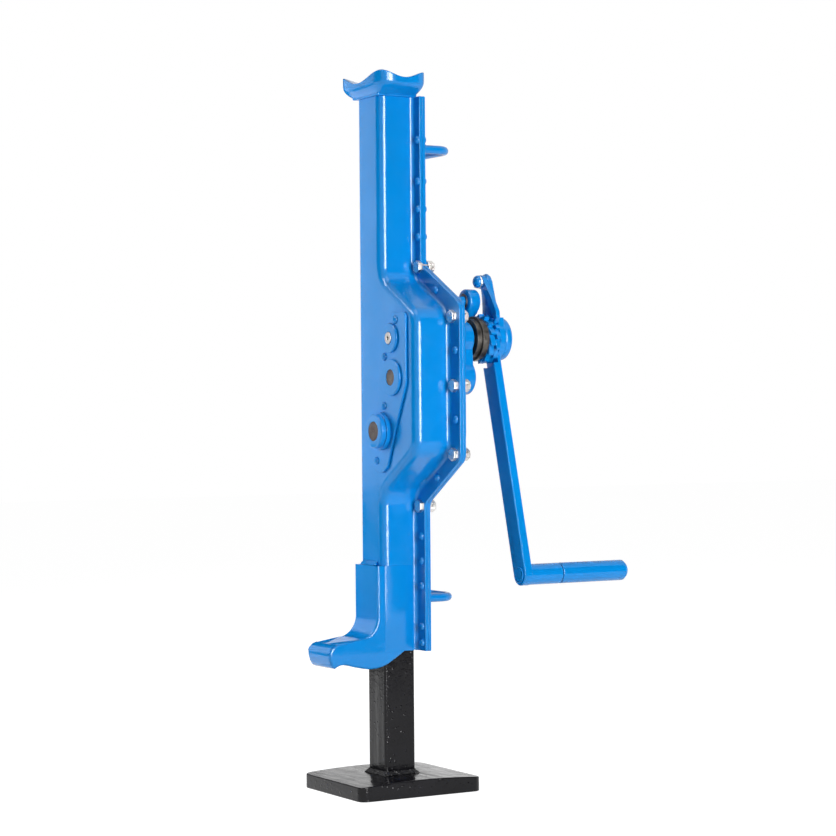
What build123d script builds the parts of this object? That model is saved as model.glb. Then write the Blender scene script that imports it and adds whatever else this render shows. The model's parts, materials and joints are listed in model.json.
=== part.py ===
"""Rack jack with a ratchet crank, in millimetres.

The foot stands on the ground and carries the toothed rack.  The housing climbs the rack and
carries the crown head on top and the toe claw at the bottom.  +Z is up, the claw points to -Y,
the crank is on +Y and the gear bulge is on +X.  The origin is on the rack's centre line, in the
underside of the foot.
"""

from build123d import *
from math import acos, atan2, ceil, cos, degrees, floor, pi, radians, sin, tan
import os

os.makedirs("parts", exist_ok=True)

# Foot and rack
foot_width = 140.0  # along X
foot_depth = 160.0  # along Y
foot_edge_thickness = 16.5
foot_crown = 3.5
foot_corner_radius = 10.0
rack_side = 40.0
rack_addendum = 3.5
rack_corner_radius = 3.0
rack_top = 684.0
rack_socket_floor = 8.0
weld_leg = 6.0
first_tooth_height = 286.0  # lower end of the toothed length

# Housing: a pressed shell in front and a flat cover with a pressed pocket behind
housing_bottom = 163.0
housing_top = 803.0
sheet = 4.0
rack_room = 2.0  # between the rack and the shell's web
rack_side_room = 3.0  # between the rack and the shell's side walls
flange_front = 19.5
web_corner_radius = 10.0
bulge_above_drive = 27.0  # from the drive shaft up to the bulge's upper corner
bulge_below_pinion = 23.0
upper_shoulder_rise = 43.0
lower_shoulder_drop = 49.0
shoulder_radius = 26.0
flange_fillet = 5.0
upper_flange = 14.0
lower_flange = 19.0
bulge_flange = 22.0
slant_flange = 20.0
flange_corner_radius = 12.0
pocket_depth = 23.0
pocket_above_drive = 63.0
pocket_corner_radius = 14.0
pocket_edge_radius = 8.0

# Gear train: the rack pinion meshes with the rack, each other pair stands at its own angle
pressure_angle = radians(20)
pinion_height = 417.0
second_pair_angle = radians(67.36)  # from the rack pinion up to the second shaft
first_pair_angle = radians(93.82)  # from the second shaft up to the drive shaft
rack_module = 4.0
rack_pinion_teeth = 7
rack_pinion_shift = 0.5
rack_backlash = 0.4
first_module = 2.0
first_pinion_teeth = 9
first_gear_teeth = 36
first_shift = 0.45
second_module = 2.5
second_pinion_teeth = 13
final_gear_teeth = 40
second_shift = 0.25
gear_backlash = 0.3
tip_relief = 0.3  # keeps the smallest pinion's teeth from ending in a point
first_gear_width = 18.0
final_gear_width = 15.0
gear_web_room = 6.0  # between the web and the second shaft's gear
gear_side_room = 4.9  # between that gear and the bulge's side wall
pocket_side_room = 6.125  # between the final gear and the pocket's wall
pocket_back_room = 3.5
pinion_overhang = (1.5, 2.0)  # how far a pinion stands out of its gear, front and back
hub_overhang = 2.5
hub_wall = 6.0
gear_rim = 9.0
gear_web_recess = 4.0
key_side = 6.0

# Shafts
pinion_shaft_radius = 11.0
second_shaft_radius = 9.0
drive_shaft_radius = 9.0
drive_journal_radius = 7.0
shaft_fit = 0.08  # radial gap of a shaft in its bush
running_gap = 0.3
end_screw_radius = 4.0
end_screw_depth = 8.0
end_screw_head = 1.4

# Front bearing plate and its three bushes
plate_thickness = 3.0
low_boss_height = 3.0
drive_boss_radius = 17.0
second_boss_radius = 21.0
pinion_boss_radius = 19.5
pinion_boss_base_radius = 22.0
pinion_boss_base_height = 5.0
pinion_boss_height = 11.0
bush_wall = 4.0
bush_stand = 1.5  # how far a bush stands out of the web inside

# Rear bearing block and the stack on the drive shaft
block_depth = 21.5
lobe_radius = 20.0
lobe_waist = 15.0
pinion_rear_boss_height = 9.0
brake_room = 2.0
brake_flange_thickness = 6.0
front_friction_thickness = 4.0
rear_friction_thickness = 5.0
brake_disc_radius = 23.0
friction_disc_radius = 26.0
holding_ratchet_thickness = 6.5
spacer_thickness = 1.5
drive_ratchet_thickness = 5.7
ratchet_radius = 29.0
ratchet_tooth_height = 4.5
ratchet_teeth = 14

# Crank
crank_radius = 280.0
crank_tilt = radians(14.7)  # from the vertical towards +X
arm_width = 25.0
arm_thickness = 10.0
arm_root_clearance = 5.0  # between the arm's front layer and the drive ratchet
eye_thickness = 7.5
eye_radius = 26.0
cap_radius = 25.0
cap_thickness = 10.5
cap_web = 4.5
horn_length = 69.0
horn_sweep = 0.57  # share of the arm's tilt that the horn takes
horn_tip_radius = 10.0
pawl_stud_radius = 4.0
stud_head_radius = 5.6
stud_head_height = 2.4
grip_radius = 12.0
grip_collar_length = 43.0
grip_sleeve_length = 88.6
grip_gap = 0.4
grip_washer_thickness = 2.0
spindle_radius = 7.0
spindle_head_height = 1.5

# Holding pawl, carried by the housing
holding_pin_place = (-16.0, 43.95)  # from the drive shaft
holding_pin_radius = 6.0
pawl_hub_radius = 14.5
pawl_hub_width = 15.0
pawl_arm_width = 8.0
pawl_clip_thickness = 1.0
pawl_crest_gap = 0.7

# Crown head and toe claw
crown_width = 90.0  # along X
crown_depth = 59.0  # along Y
crown_centre_y = -4.5
crown_height = 29.0
crown_corner_radius = 9.0
crown_flare = ((0.35, 0.83, 0.93), (0.72, 0.97, 0.985), (1.0, 1.0, 1.0))
front_valley_depth = 10.0
side_valley_depth = 6.5
horn_flat = 9.0
claw_wall = 7.0
claw_height = 99.0
claw_reach = 63.0  # from the claw's wall forward to its nose
claw_drop = 19.0  # below the housing
claw_feather = 2.0

# Carrying handles
handle_bar_radius = 5.0
handle_spread = 32.0
handle_reach = 42.5
handle_bend = 16.0
handle_inset = 60.0  # from the housing's ends

# Fasteners
bolt_flats = 13.0
bolt_head_height = 5.3
bolt_radius = 4.0
nut_height = 6.5
washer_radius = 7.5
washer_thickness = 1.5
rivet_head_radius = 4.2
rivet_head_height = 3.0
rivet_radius = 3.0
inside_head_height = 1.2  # of the rivets whose tails stand beside the rack
hole_gap = 0.1
plate_rivet_radius = 4.5
# Rivets on the straight flanges, as shares of the way from the last bolt to the open end
upper_rivet_shares = (0.178, 0.34, 0.503, 0.746)
lower_rivet_shares = (0.207, 0.377, 0.551, 0.832, 0.946)


def behind(face, thickness, gap=0.0):
    """Places along Y of a plate that lies behind another one."""
    return (face[1] + gap, face[1] + gap + thickness)


def from_axis(axis, right, up):
    """Point in the front view beside an axis."""
    return (axis[0] + right, axis[1] + up)


# Shaft axes in X and Z
half_rack = rack_side / 2
rack_pitch = pi * rack_module
rack_reference = half_rack - rack_addendum
rack_root = rack_reference - rack_module
second_distance = second_module * (second_pinion_teeth + final_gear_teeth) / 2
first_distance = first_module * (first_pinion_teeth + first_gear_teeth) / 2
pinion_axis = (
    rack_reference + (rack_pinion_teeth / 2 + rack_pinion_shift) * rack_module,
    pinion_height,
)
second_axis = from_axis(
    pinion_axis,
    second_distance * cos(second_pair_angle),
    second_distance * sin(second_pair_angle),
)
drive_axis = from_axis(
    second_axis,
    first_distance * cos(first_pair_angle),
    first_distance * sin(first_pair_angle),
)

# Tips of the gears
first_pinion_tip = first_module * (first_pinion_teeth / 2 + 1 + first_shift) - tip_relief
first_gear_tip = first_module * (first_gear_teeth / 2 + 1 - first_shift)
second_pinion_tip = second_module * (second_pinion_teeth / 2 + 1 + second_shift)
final_gear_tip = second_module * (final_gear_teeth / 2 + 1 - second_shift)
rack_pinion_tip = pinion_axis[0] - rack_root - 0.2 * rack_module

# Places along Y, from front to back
web_front = -(half_rack + rack_room + sheet)
web_back = web_front + sheet
plate_front = web_front - plate_thickness
low_boss_front = plate_front - low_boss_height
pinion_boss_front = plate_front - pinion_boss_height
flange_back = flange_front + sheet
cover_back = flange_back + sheet
pocket_back = cover_back + pocket_depth
pocket_inside = pocket_back - sheet
block_face = pocket_back + block_depth
front_gear_face = (web_back + gear_web_room, web_back + gear_web_room + first_gear_width)
front_pinion_face = (
    front_gear_face[0] - pinion_overhang[0], front_gear_face[1] + pinion_overhang[1],
)
final_gear_face = (
    pocket_inside - pocket_back_room - final_gear_width, pocket_inside - pocket_back_room,
)
second_pinion_face = (
    final_gear_face[0] - pinion_overhang[0], final_gear_face[1] + pinion_overhang[1],
)
rack_pinion_face = (2 - half_rack, half_rack - 2)
brake_flange_face = behind((pocket_back, block_face), brake_flange_thickness, brake_room)
front_friction_face = behind(brake_flange_face, front_friction_thickness)
rear_friction_face = behind(front_friction_face, rear_friction_thickness)
holding_ratchet_face = behind(rear_friction_face, holding_ratchet_thickness)
spacer_face = behind(holding_ratchet_face, spacer_thickness)
drive_ratchet_face = behind(spacer_face, drive_ratchet_thickness)
arm_face = behind(spacer_face, arm_thickness)
eye_face = behind(drive_ratchet_face, eye_thickness, running_gap)
cap_face = behind(eye_face, cap_thickness)
cap_floor = cap_face[1] - cap_web
collar_face = behind(arm_face, grip_collar_length)
sleeve_face = behind(collar_face, grip_sleeve_length, grip_gap)
grip_washer_face = behind(sleeve_face, grip_washer_thickness, grip_gap)
pawl_hub_face = (
    holding_ratchet_face[1] - 1.5 - pawl_hub_width, holding_ratchet_face[1] - 1.5,
)
pawl_arm_face = (pawl_hub_face[1] - pawl_arm_width, pawl_hub_face[1])

# Outline of the housing in the front view
tube_inside = half_rack + rack_side_room
tube_half_width = tube_inside + sheet
bulge_reach = second_axis[0] + first_gear_tip + gear_side_room + sheet
bulge_top = drive_axis[1] + bulge_above_drive
bulge_bottom = pinion_axis[1] - bulge_below_pinion
upper_shoulder = bulge_top + upper_shoulder_rise
lower_shoulder = bulge_bottom - lower_shoulder_drop
upper_slope = atan2(upper_shoulder_rise, bulge_reach - tube_half_width)
lower_slope = atan2(lower_shoulder_drop, bulge_reach - tube_half_width)
pocket_radius = final_gear_tip + pocket_side_room + sheet
pocket_top = drive_axis[1] + pocket_above_drive
crown_top = housing_top + crown_height
claw_front = web_front - claw_wall
claw_nose = claw_front - claw_reach
claw_top = housing_bottom + claw_height
claw_bottom = housing_bottom - claw_drop

# Places on the crank and of the holding pawl's pin
stud_axis = from_axis(
    drive_axis, -horn_length * sin(crank_tilt) * horn_sweep, horn_length * cos(crank_tilt)
)
spindle_axis = from_axis(
    drive_axis, crank_radius * sin(crank_tilt), -crank_radius * cos(crank_tilt)
)
holding_pin = from_axis(drive_axis, *holding_pin_place)


def upright(y):
    """Plane at the given Y that faces the front, drawn with X to the right and Z up."""
    return Plane.XZ.offset(-y)


def save(builder, name):
    """Label a finished piece and write its STEP file."""
    builder.part.label = name
    export_step(builder.part, f"parts/{name}.step")


def polar(centre, radius, angle):
    """Point at a radius and an angle in radians round a centre."""
    return (centre[0] + radius * cos(angle), centre[1] + radius * sin(angle))


def disc(centre, radius, face):
    """Round plate between two places along Y, added to the current part."""
    with BuildSketch(upright(face[1])) as outline:
        with Locations(centre):
            Circle(radius)
    extrude(outline.sketch, amount=face[1] - face[0])


def bore(centre, radius, face):
    """Round hole between two places along Y, cut from the current part."""
    with BuildSketch(upright(face[1])) as outline:
        with Locations(centre):
            Circle(radius)
    extrude(outline.sketch, amount=face[1] - face[0], mode=Mode.SUBTRACT)


# Foot plate with a crowned top
with BuildPart() as foot_plate:
    with BuildSketch(Plane.YZ) as foot_profile:
        with BuildLine():
            Polyline(
                (foot_depth / 2, foot_edge_thickness),
                (foot_depth / 2, 0),
                (-foot_depth / 2, 0),
                (-foot_depth / 2, foot_edge_thickness),
            )
            ThreePointArc(
                (-foot_depth / 2, foot_edge_thickness),
                (0, foot_edge_thickness + foot_crown),
                (foot_depth / 2, foot_edge_thickness),
            )
        make_face()
    extrude(amount=foot_width / 2, both=True)
    fillet(foot_plate.edges().filter_by(Axis.Z), foot_corner_radius)
    with BuildSketch(Plane.XY.offset(rack_socket_floor)):
        RectangleRounded(rack_side, rack_side, rack_corner_radius)
    extrude(amount=foot_edge_thickness + foot_crown, mode=Mode.SUBTRACT)
save(foot_plate, "foot_plate")

# Rack: a square bar with teeth on its +X face, above the length that the foot end shows
gap_half_width = rack_pitch / 4 + rack_backlash / 2
first_gap = ceil((first_tooth_height - pinion_axis[1]) / rack_pitch)
last_gap = floor((rack_top - pinion_axis[1]) / rack_pitch)


def rack_gap(height):
    """Outline of one gap between rack teeth, centred at the given height."""
    root = gap_half_width - (rack_reference - rack_root) * tan(pressure_angle)
    outside = half_rack + rack_module / 2
    mouth = gap_half_width + (outside - rack_reference) * tan(pressure_angle)
    with BuildLine() as outline:
        Polyline(
            (rack_root, height - root),
            (outside, height - mouth),
            (outside, height + mouth),
            (rack_root, height + root),
            close=True,
        )
    make_face(outline.edges())


with BuildPart() as rack_bar:
    with BuildSketch(Plane.XY.offset(rack_socket_floor)):
        RectangleRounded(rack_side, rack_side, rack_corner_radius)
    extrude(amount=rack_top - rack_socket_floor)
    with BuildSketch(upright(half_rack)):
        for tooth in range(first_gap, last_gap + 1):
            rack_gap(pinion_axis[1] + tooth * rack_pitch)
    extrude(amount=rack_side, mode=Mode.SUBTRACT)
save(rack_bar, "rack_bar")

# Weld bead where the rack stands in the foot
with BuildPart() as foot_weld:
    bead_base = foot_edge_thickness + foot_crown - 2
    with BuildSketch(Plane.XY.offset(bead_base)):
        RectangleRounded(rack_side + 2 * weld_leg + 2, rack_side + 2 * weld_leg + 2, weld_leg)
    with BuildSketch(Plane.XY.offset(bead_base + weld_leg + 1)):
        RectangleRounded(rack_side + 2, rack_side + 2, rack_corner_radius + 1)
    loft()
    with BuildSketch(Plane.XY.offset(bead_base)):
        RectangleRounded(rack_side, rack_side, rack_corner_radius)
    extrude(amount=2 * weld_leg, mode=Mode.SUBTRACT)
    add(foot_plate.part, mode=Mode.SUBTRACT)
save(foot_weld, "foot_weld")


def housing_outline(left, low, bulge, slant, high, foot, head, corner, inner_corner):
    """Front view of the housing, set outwards by the given widths from the side wall.

    left, low and high are the widths beside the straight tube, bulge the one beside the
    bulge and slant the one beside its shoulders.  foot and head are the ends in Z.
    """
    low_x = tube_half_width + low
    high_x = tube_half_width + high
    bulge_x = bulge_reach + bulge

    def lower(x):
        return lower_shoulder + (x - tube_half_width) * tan(lower_slope) - slant / cos(lower_slope)

    def upper(x):
        return upper_shoulder - (x - tube_half_width) * tan(upper_slope) + slant / cos(upper_slope)

    with BuildLine() as outline:
        FilletPolyline(
            (-tube_half_width - left, head),
            (-tube_half_width - left, foot),
            (low_x, foot),
            (low_x, lower(low_x)),
            (bulge_x, lower(bulge_x)),
            (bulge_x, upper(bulge_x)),
            (high_x, upper(high_x)),
            (high_x, head),
            radius=[0, 0, 0, inner_corner, corner, corner, inner_corner, 0],
            close=True,
        )
    make_face(outline.edges())


def flange_outline():
    """Outer edge of the shell's flange and of the cover, which lie on each other."""
    housing_outline(
        lower_flange, lower_flange, bulge_flange, slant_flange, upper_flange,
        housing_bottom, housing_top, flange_corner_radius, flange_corner_radius,
    )


# Fastener places: rivets and bolts alternate along both flanges
upper_line = tube_half_width + flange_fillet + rivet_head_radius + hole_gap
lower_line = tube_half_width + flange_fillet + bolt_flats / 2 + hole_gap
bulge_line = bulge_reach + bulge_flange / 2 + 2
left_line = -lower_line
middle_rivet_heights = [bulge_top - 42, bulge_bottom + 36]
bolt_heights = [
    upper_shoulder + 13,
    bulge_top - 4,
    (bulge_top + bulge_bottom) / 2 - 4,
    bulge_bottom - 3.5,
    lower_shoulder - 15,
]
upper_run = housing_top - bolt_heights[0]
lower_run = bolt_heights[-1] - housing_bottom
upper_rivet_heights = [bolt_heights[0] + share * upper_run for share in upper_rivet_shares]
lower_rivet_heights = [bolt_heights[-1] - share * lower_run for share in lower_rivet_shares]
slant_middle = (tube_half_width + bulge_reach) / 2 + 10
slant_line = flange_fillet + rivet_head_radius + 1  # from the shoulders' walls
shoulder_rivets = [
    (
        slant_middle,
        upper_shoulder - (slant_middle - tube_half_width) * tan(upper_slope)
        + slant_line / cos(upper_slope),
    ),
    (
        slant_middle,
        lower_shoulder + (slant_middle - tube_half_width) * tan(lower_slope)
        - slant_line / cos(lower_slope),
    ),
]
bolt_points = [
    (upper_line + 3.5, bolt_heights[0]),
    (bulge_line - 3.5, bolt_heights[1]),
    (bulge_line, bolt_heights[2]),
    (bulge_line - 2, bolt_heights[3]),
    (lower_line, bolt_heights[4]),
] + [(left_line, height) for height in bolt_heights]
rivet_points = (
    [(upper_line, height) for height in upper_rivet_heights]
    + [(lower_line, height) for height in lower_rivet_heights]
    + [(bulge_line, height) for height in middle_rivet_heights]
    + shoulder_rivets
    + [
        (left_line, height)
        for height in upper_rivet_heights + middle_rivet_heights + lower_rivet_heights
    ]
)
plate_rivet_points = [
    from_axis(drive_axis, 11, 20.5),
    from_axis(drive_axis, -14, -21),
    from_axis(pinion_axis, 6.5, 29),
    from_axis(pinion_axis, -11.5, -34),
]


def flange_holes():
    """Bolt and rivet holes through the sheet of the current part."""
    with BuildSketch(upright(cover_back)) as holes:
        with Locations(*bolt_points):
            Circle(bolt_radius + hole_gap)
        with Locations(*rivet_points):
            Circle(rivet_radius + hole_gap)
    extrude(holes.sketch, amount=cover_back - flange_front, mode=Mode.SUBTRACT)


# Front shell: a deep pressed tub with a gear bulge and a flange
def runs_along(edge):
    """True for an edge that is not across the housing's open ends."""
    height = edge.center().Z
    return housing_bottom + 1 < height < housing_top - 1


with BuildPart() as shell_cavity:
    with BuildSketch(upright(flange_back)):
        housing_outline(
            -sheet, -sheet, -sheet, -sheet, -sheet, housing_bottom - sheet, housing_top + sheet,
            shoulder_radius - sheet, shoulder_radius + sheet,
        )
    extrude(amount=flange_back - web_back)
    fillet(
        shell_cavity.edges().group_by(Axis.Y)[0].filter_by(runs_along),
        web_corner_radius - sheet,
    )

with BuildPart() as front_shell:
    with BuildSketch(upright(flange_front)):
        housing_outline(
            0, 0, 0, 0, 0, housing_bottom, housing_top, shoulder_radius, shoulder_radius,
        )
    extrude(amount=flange_front - web_front)
    fillet(
        front_shell.edges().group_by(Axis.Y)[0].filter_by(runs_along),
        web_corner_radius,
    )
    wall_ends = [edge.center() for edge in front_shell.edges().group_by(Axis.Y)[-1]]
    with BuildSketch(upright(flange_back)):
        flange_outline()
    extrude(amount=sheet)
    fillet(
        front_shell.edges().filter_by(
            lambda edge: runs_along(edge)
            and any((edge.center() - place).length < 0.01 for place in wall_ends)
        ),
        flange_fillet,
    )
    add(shell_cavity.part, mode=Mode.SUBTRACT)
    bore(drive_axis, drive_journal_radius + bush_wall, (web_front, web_back))
    bore(second_axis, second_shaft_radius + bush_wall, (web_front, web_back))
    bore(pinion_axis, pinion_shaft_radius + bush_wall, (web_front, web_back))
    with Locations(*[(x, web_front, z) for x, z in plate_rivet_points]):
        Cylinder(
            rivet_radius + hole_gap, 2 * sheet + 1, rotation=(90, 0, 0), mode=Mode.SUBTRACT
        )
    flange_holes()
save(front_shell, "front_shell")


def pocket_outline(inset):
    """Front view of the cover's pocket: a round foot, straight sides and a slanted shoulder."""
    radius = pocket_radius - inset
    left = pinion_axis[0] - radius
    right = pinion_axis[0] + radius
    top = pocket_top - inset
    slant_top = pinion_axis[0] + 12 - inset * tan(upper_slope / 2)
    slant_end = top - (right - slant_top) * tan(upper_slope)
    with BuildLine() as outline:
        ThreePointArc(
            (left, pinion_axis[1]),
            (pinion_axis[0], pinion_axis[1] - radius),
            (right, pinion_axis[1]),
        )
        FilletPolyline(
            (right, pinion_axis[1]),
            (right, slant_end),
            (slant_top, top),
            (left, top),
            (left, pinion_axis[1]),
            radius=pocket_corner_radius - inset,
        )
    make_face(outline.edges())


# Back cover: a flat sheet with a pocket for the final gear
with BuildPart() as back_cover:
    with BuildSketch(upright(pocket_back)):
        pocket_outline(0)
    extrude(amount=pocket_back - cover_back)
    fillet(back_cover.edges().group_by(Axis.Y)[-1], pocket_edge_radius)
    with BuildSketch(upright(cover_back)):
        flange_outline()
    extrude(amount=sheet)
    with BuildSketch(upright(pocket_inside)):
        pocket_outline(sheet)
    extrude(amount=pocket_inside - flange_back, mode=Mode.SUBTRACT)
    bore(drive_axis, drive_shaft_radius + bush_wall, (pocket_inside, pocket_back))
    bore(second_axis, second_shaft_radius + bush_wall, (pocket_inside, pocket_back))
    bore(pinion_axis, pinion_shaft_radius + bush_wall, (pocket_inside, pocket_back))
    bore(holding_pin, holding_pin_radius, (pocket_inside, pocket_back))
    flange_holes()
save(back_cover, "back_cover")

# Crown head: a cast cup on the shell's top with four horns and two crossing valleys
with BuildPart() as crown_head:
    cup_base_depth = flange_front - web_front
    cup_base_y = (flange_front + web_front) / 2
    with BuildSketch(Plane.XY.offset(housing_top)):
        with Locations((0, cup_base_y)):
            RectangleRounded(2 * tube_half_width, cup_base_depth, web_corner_radius)
    for height, width, depth in crown_flare:
        with BuildSketch(Plane.XY.offset(housing_top + height * crown_height)):
            with Locations((0, crown_centre_y)):
                RectangleRounded(width * crown_width, depth * crown_depth, crown_corner_radius)
    loft()
    front_chord = crown_width / 2 - horn_flat
    front_valley = (front_chord ** 2 + front_valley_depth ** 2) / (2 * front_valley_depth)
    side_chord = crown_depth / 2 - horn_flat
    side_valley = (side_chord ** 2 + side_valley_depth ** 2) / (2 * side_valley_depth)
    with Locations((0, crown_centre_y, crown_top - front_valley_depth + front_valley)):
        Cylinder(front_valley, 2 * crown_depth, rotation=(90, 0, 0), mode=Mode.SUBTRACT)
    with Locations((0, crown_centre_y, crown_top - side_valley_depth + side_valley)):
        Cylinder(side_valley, 2 * crown_width, rotation=(0, 90, 0), mode=Mode.SUBTRACT)
save(crown_head, "crown_head")

# Toe claw: a casting that wraps the shell's lower corners and reaches forward
claw_back = web_front + web_corner_radius - claw_feather
claw_neck = (claw_front, housing_bottom + 43)
claw_throat = (claw_front - 18, housing_bottom + 16)
claw_pad_end = (claw_nose + 12, housing_bottom + 11.5)
claw_lip = (claw_nose + 4.5, claw_bottom + 5)
claw_heel = (claw_nose + 36, claw_bottom + 3)
with BuildPart() as toe_claw:
    with BuildSketch(Plane.YZ):
        with BuildLine():
            Polyline(
                claw_neck, (claw_front, claw_top), (claw_back, claw_top),
                (claw_back, housing_bottom), (claw_front + 35, housing_bottom),
            )
            ThreePointArc(claw_neck, (claw_front - 4.5, housing_bottom + 26), claw_throat)
            Line(claw_throat, claw_pad_end)
            Spline(
                claw_pad_end, (claw_nose, claw_bottom + 18), claw_lip,
                tangents=((-1, -0.14), (0.45, -1)),
            )
            Line(claw_lip, (claw_nose + 8, claw_bottom + 3))
            Spline(
                (claw_nose + 8, claw_bottom + 3), (claw_nose + 16, claw_bottom + 6.5), claw_heel,
                tangents=((1, 0.7), (1, -0.22)),
            )
            Spline(
                claw_heel, (claw_front - 5, claw_bottom), (claw_front + 15, claw_bottom + 5),
                (claw_front + 35, housing_bottom),
                tangents=((1, -0.22), (1, 0.75)),
            )
        make_face()
    extrude(amount=tube_half_width, both=True)
    fillet(toe_claw.edges().filter_by(Axis.Z).sort_by(Axis.Y)[:2], 3.0)
    add(front_shell.part, mode=Mode.SUBTRACT)
    with Locations((0, (web_back + pocket_back) / 2, (housing_bottom + claw_top) / 2)):
        Box(2 * tube_inside, pocket_back - web_back, 2 * claw_top, mode=Mode.SUBTRACT)
save(toe_claw, "toe_claw")

# Weld bead that joins the claw's upper edge to the shell's web
with BuildPart() as claw_weld:
    with BuildSketch(Plane.YZ):
        with BuildLine():
            Polyline(
                (web_front, claw_top),
                (claw_front, claw_top),
                (web_front, claw_top + weld_leg),
                close=True,
            )
        make_face()
    extrude(amount=tube_half_width - web_corner_radius, both=True)
save(claw_weld, "claw_weld")

# Front bearing plate, riveted to the web
with BuildPart() as front_bearing_plate:
    with BuildSketch(upright(web_front)):
        with BuildLine():
            FilletPolyline(
                from_axis(drive_axis, 2, 29),
                from_axis(drive_axis, 33, 29),
                from_axis(second_axis, 30, -8),
                from_axis(pinion_axis, 29.5, 0),
                from_axis(pinion_axis, 12.5, -41),
                from_axis(pinion_axis, 0, -48),
                from_axis(pinion_axis, -18.5, -46),
                from_axis(pinion_axis, -27.5, -22),
                from_axis(pinion_axis, -27.5, 11),
                from_axis(second_axis, -32, -26),
                from_axis(drive_axis, -26, -14),
                radius=[6, 6, 14, 10, 12, 12, 12, 14, 14, 14, 10],
                close=True,
            )
        make_face()
    extrude(amount=plate_thickness)
    bore(drive_axis, drive_journal_radius + bush_wall, (plate_front, web_front))
    bore(second_axis, second_shaft_radius + bush_wall, (plate_front, web_front))
    bore(pinion_axis, pinion_shaft_radius + bush_wall, (plate_front, web_front))
    with Locations(*[(x, web_front, z) for x, z in plate_rivet_points]):
        Cylinder(
            rivet_radius + hole_gap, 4 * plate_thickness, rotation=(90, 0, 0),
            mode=Mode.SUBTRACT,
        )
save(front_bearing_plate, "front_bearing_plate")

# Flanged bushes in the web and the bearing plate
bush_back = web_back + bush_stand

with BuildPart() as drive_shaft_front_bush:
    disc(drive_axis, drive_journal_radius + bush_wall, (plate_front, bush_back))
    disc(drive_axis, drive_boss_radius, (low_boss_front, plate_front))
    chamfer(drive_shaft_front_bush.edges().group_by(Axis.Y)[0], 0.8)
    bore(drive_axis, drive_journal_radius + shaft_fit, (low_boss_front, bush_back))
save(drive_shaft_front_bush, "drive_shaft_front_bush")

with BuildPart() as second_shaft_front_bush:
    disc(second_axis, second_shaft_radius + bush_wall, (plate_front, bush_back))
    disc(second_axis, second_boss_radius, (low_boss_front, plate_front))
    chamfer(second_shaft_front_bush.edges().group_by(Axis.Y)[0], 0.8)
    bore(second_axis, second_shaft_radius + shaft_fit, (low_boss_front, bush_back))
    with BuildSketch(upright(plate_front)):
        with Locations(drive_axis):
            Circle(drive_boss_radius + hole_gap)
    extrude(amount=low_boss_height, mode=Mode.SUBTRACT)
save(second_shaft_front_bush, "second_shaft_front_bush")

with BuildPart() as pinion_shaft_front_bush:
    disc(pinion_axis, pinion_shaft_radius + bush_wall, (plate_front, bush_back))
    disc(
        pinion_axis, pinion_boss_base_radius,
        (plate_front - pinion_boss_base_height, plate_front),
    )
    disc(pinion_axis, pinion_boss_radius, (pinion_boss_front, plate_front))
    chamfer(pinion_shaft_front_bush.edges().group_by(Axis.Y)[0], 1.2)
    bore(pinion_axis, pinion_shaft_radius + shaft_fit, (pinion_boss_front, bush_back))
save(pinion_shaft_front_bush, "pinion_shaft_front_bush")

# Rear bearing block: two lobes on one foot, on the pocket's face
with BuildPart() as rear_bearing_block:
    with BuildSketch(upright(block_face)):
        with Locations(drive_axis, second_axis):
            Circle(lobe_radius)
        with BuildLine():
            Polyline(
                (drive_axis[0] - lobe_waist, drive_axis[1]),
                (second_axis[0] - lobe_waist, second_axis[1]),
                (second_axis[0] + lobe_waist, second_axis[1]),
                (drive_axis[0] + lobe_waist, drive_axis[1]),
                close=True,
            )
        make_face()
    extrude(amount=block_face - pocket_back)
    chamfer(rear_bearing_block.edges().group_by(Axis.Y)[-1], 1.5)
    bore(drive_axis, drive_shaft_radius + bush_wall, (pocket_back, block_face))
    bore(second_axis, second_shaft_radius + bush_wall, (pocket_back, block_face - sheet / 2))
save(rear_bearing_block, "rear_bearing_block")

with BuildPart() as drive_shaft_rear_bush:
    disc(drive_axis, drive_shaft_radius + bush_wall, (pocket_inside, block_face))
    bore(drive_axis, drive_shaft_radius + shaft_fit, (pocket_inside, block_face))
save(drive_shaft_rear_bush, "drive_shaft_rear_bush")

second_bush_end = block_face - sheet / 2
with BuildPart() as second_shaft_rear_bush:
    disc(second_axis, second_shaft_radius + bush_wall, (pocket_inside, second_bush_end))
    bore(second_axis, second_shaft_radius + shaft_fit, (pocket_inside, second_bush_end))
save(second_shaft_rear_bush, "second_shaft_rear_bush")

pinion_rear_end = pocket_back + pinion_rear_boss_height
with BuildPart() as pinion_shaft_rear_bearing:
    disc(pinion_axis, pinion_shaft_radius + bush_wall, (pocket_inside - 1, pocket_back))
    disc(pinion_axis, pinion_boss_base_radius, (pocket_back, pinion_rear_end))
    chamfer(pinion_shaft_rear_bearing.edges().group_by(Axis.Y)[-1], 1.2)
    bore(
        pinion_axis, pinion_shaft_radius + shaft_fit,
        (pocket_inside - 1, pinion_rear_end - sheet / 2),
    )
save(pinion_shaft_rear_bearing, "pinion_shaft_rear_bearing")

# Guides inside the tube: a frame at the mouth and a block behind the rack at the pinion
guide_gap = 0.4
with BuildPart() as lower_rack_guide:
    guide_height = 30.0
    with BuildSketch(Plane.XY.offset(housing_bottom)):
        with Locations((0, (web_back + flange_back) / 2)):
            RectangleRounded(
                2 * tube_inside, flange_back - web_back, web_corner_radius - sheet
            )
        with Locations((0, flange_back - (web_corner_radius - sheet) / 2)):
            Rectangle(2 * tube_inside, web_corner_radius - sheet)
        Rectangle(rack_side + 2 * guide_gap, rack_side + 2 * guide_gap, mode=Mode.SUBTRACT)
    extrude(amount=guide_height)
save(lower_rack_guide, "lower_rack_guide")

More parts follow.
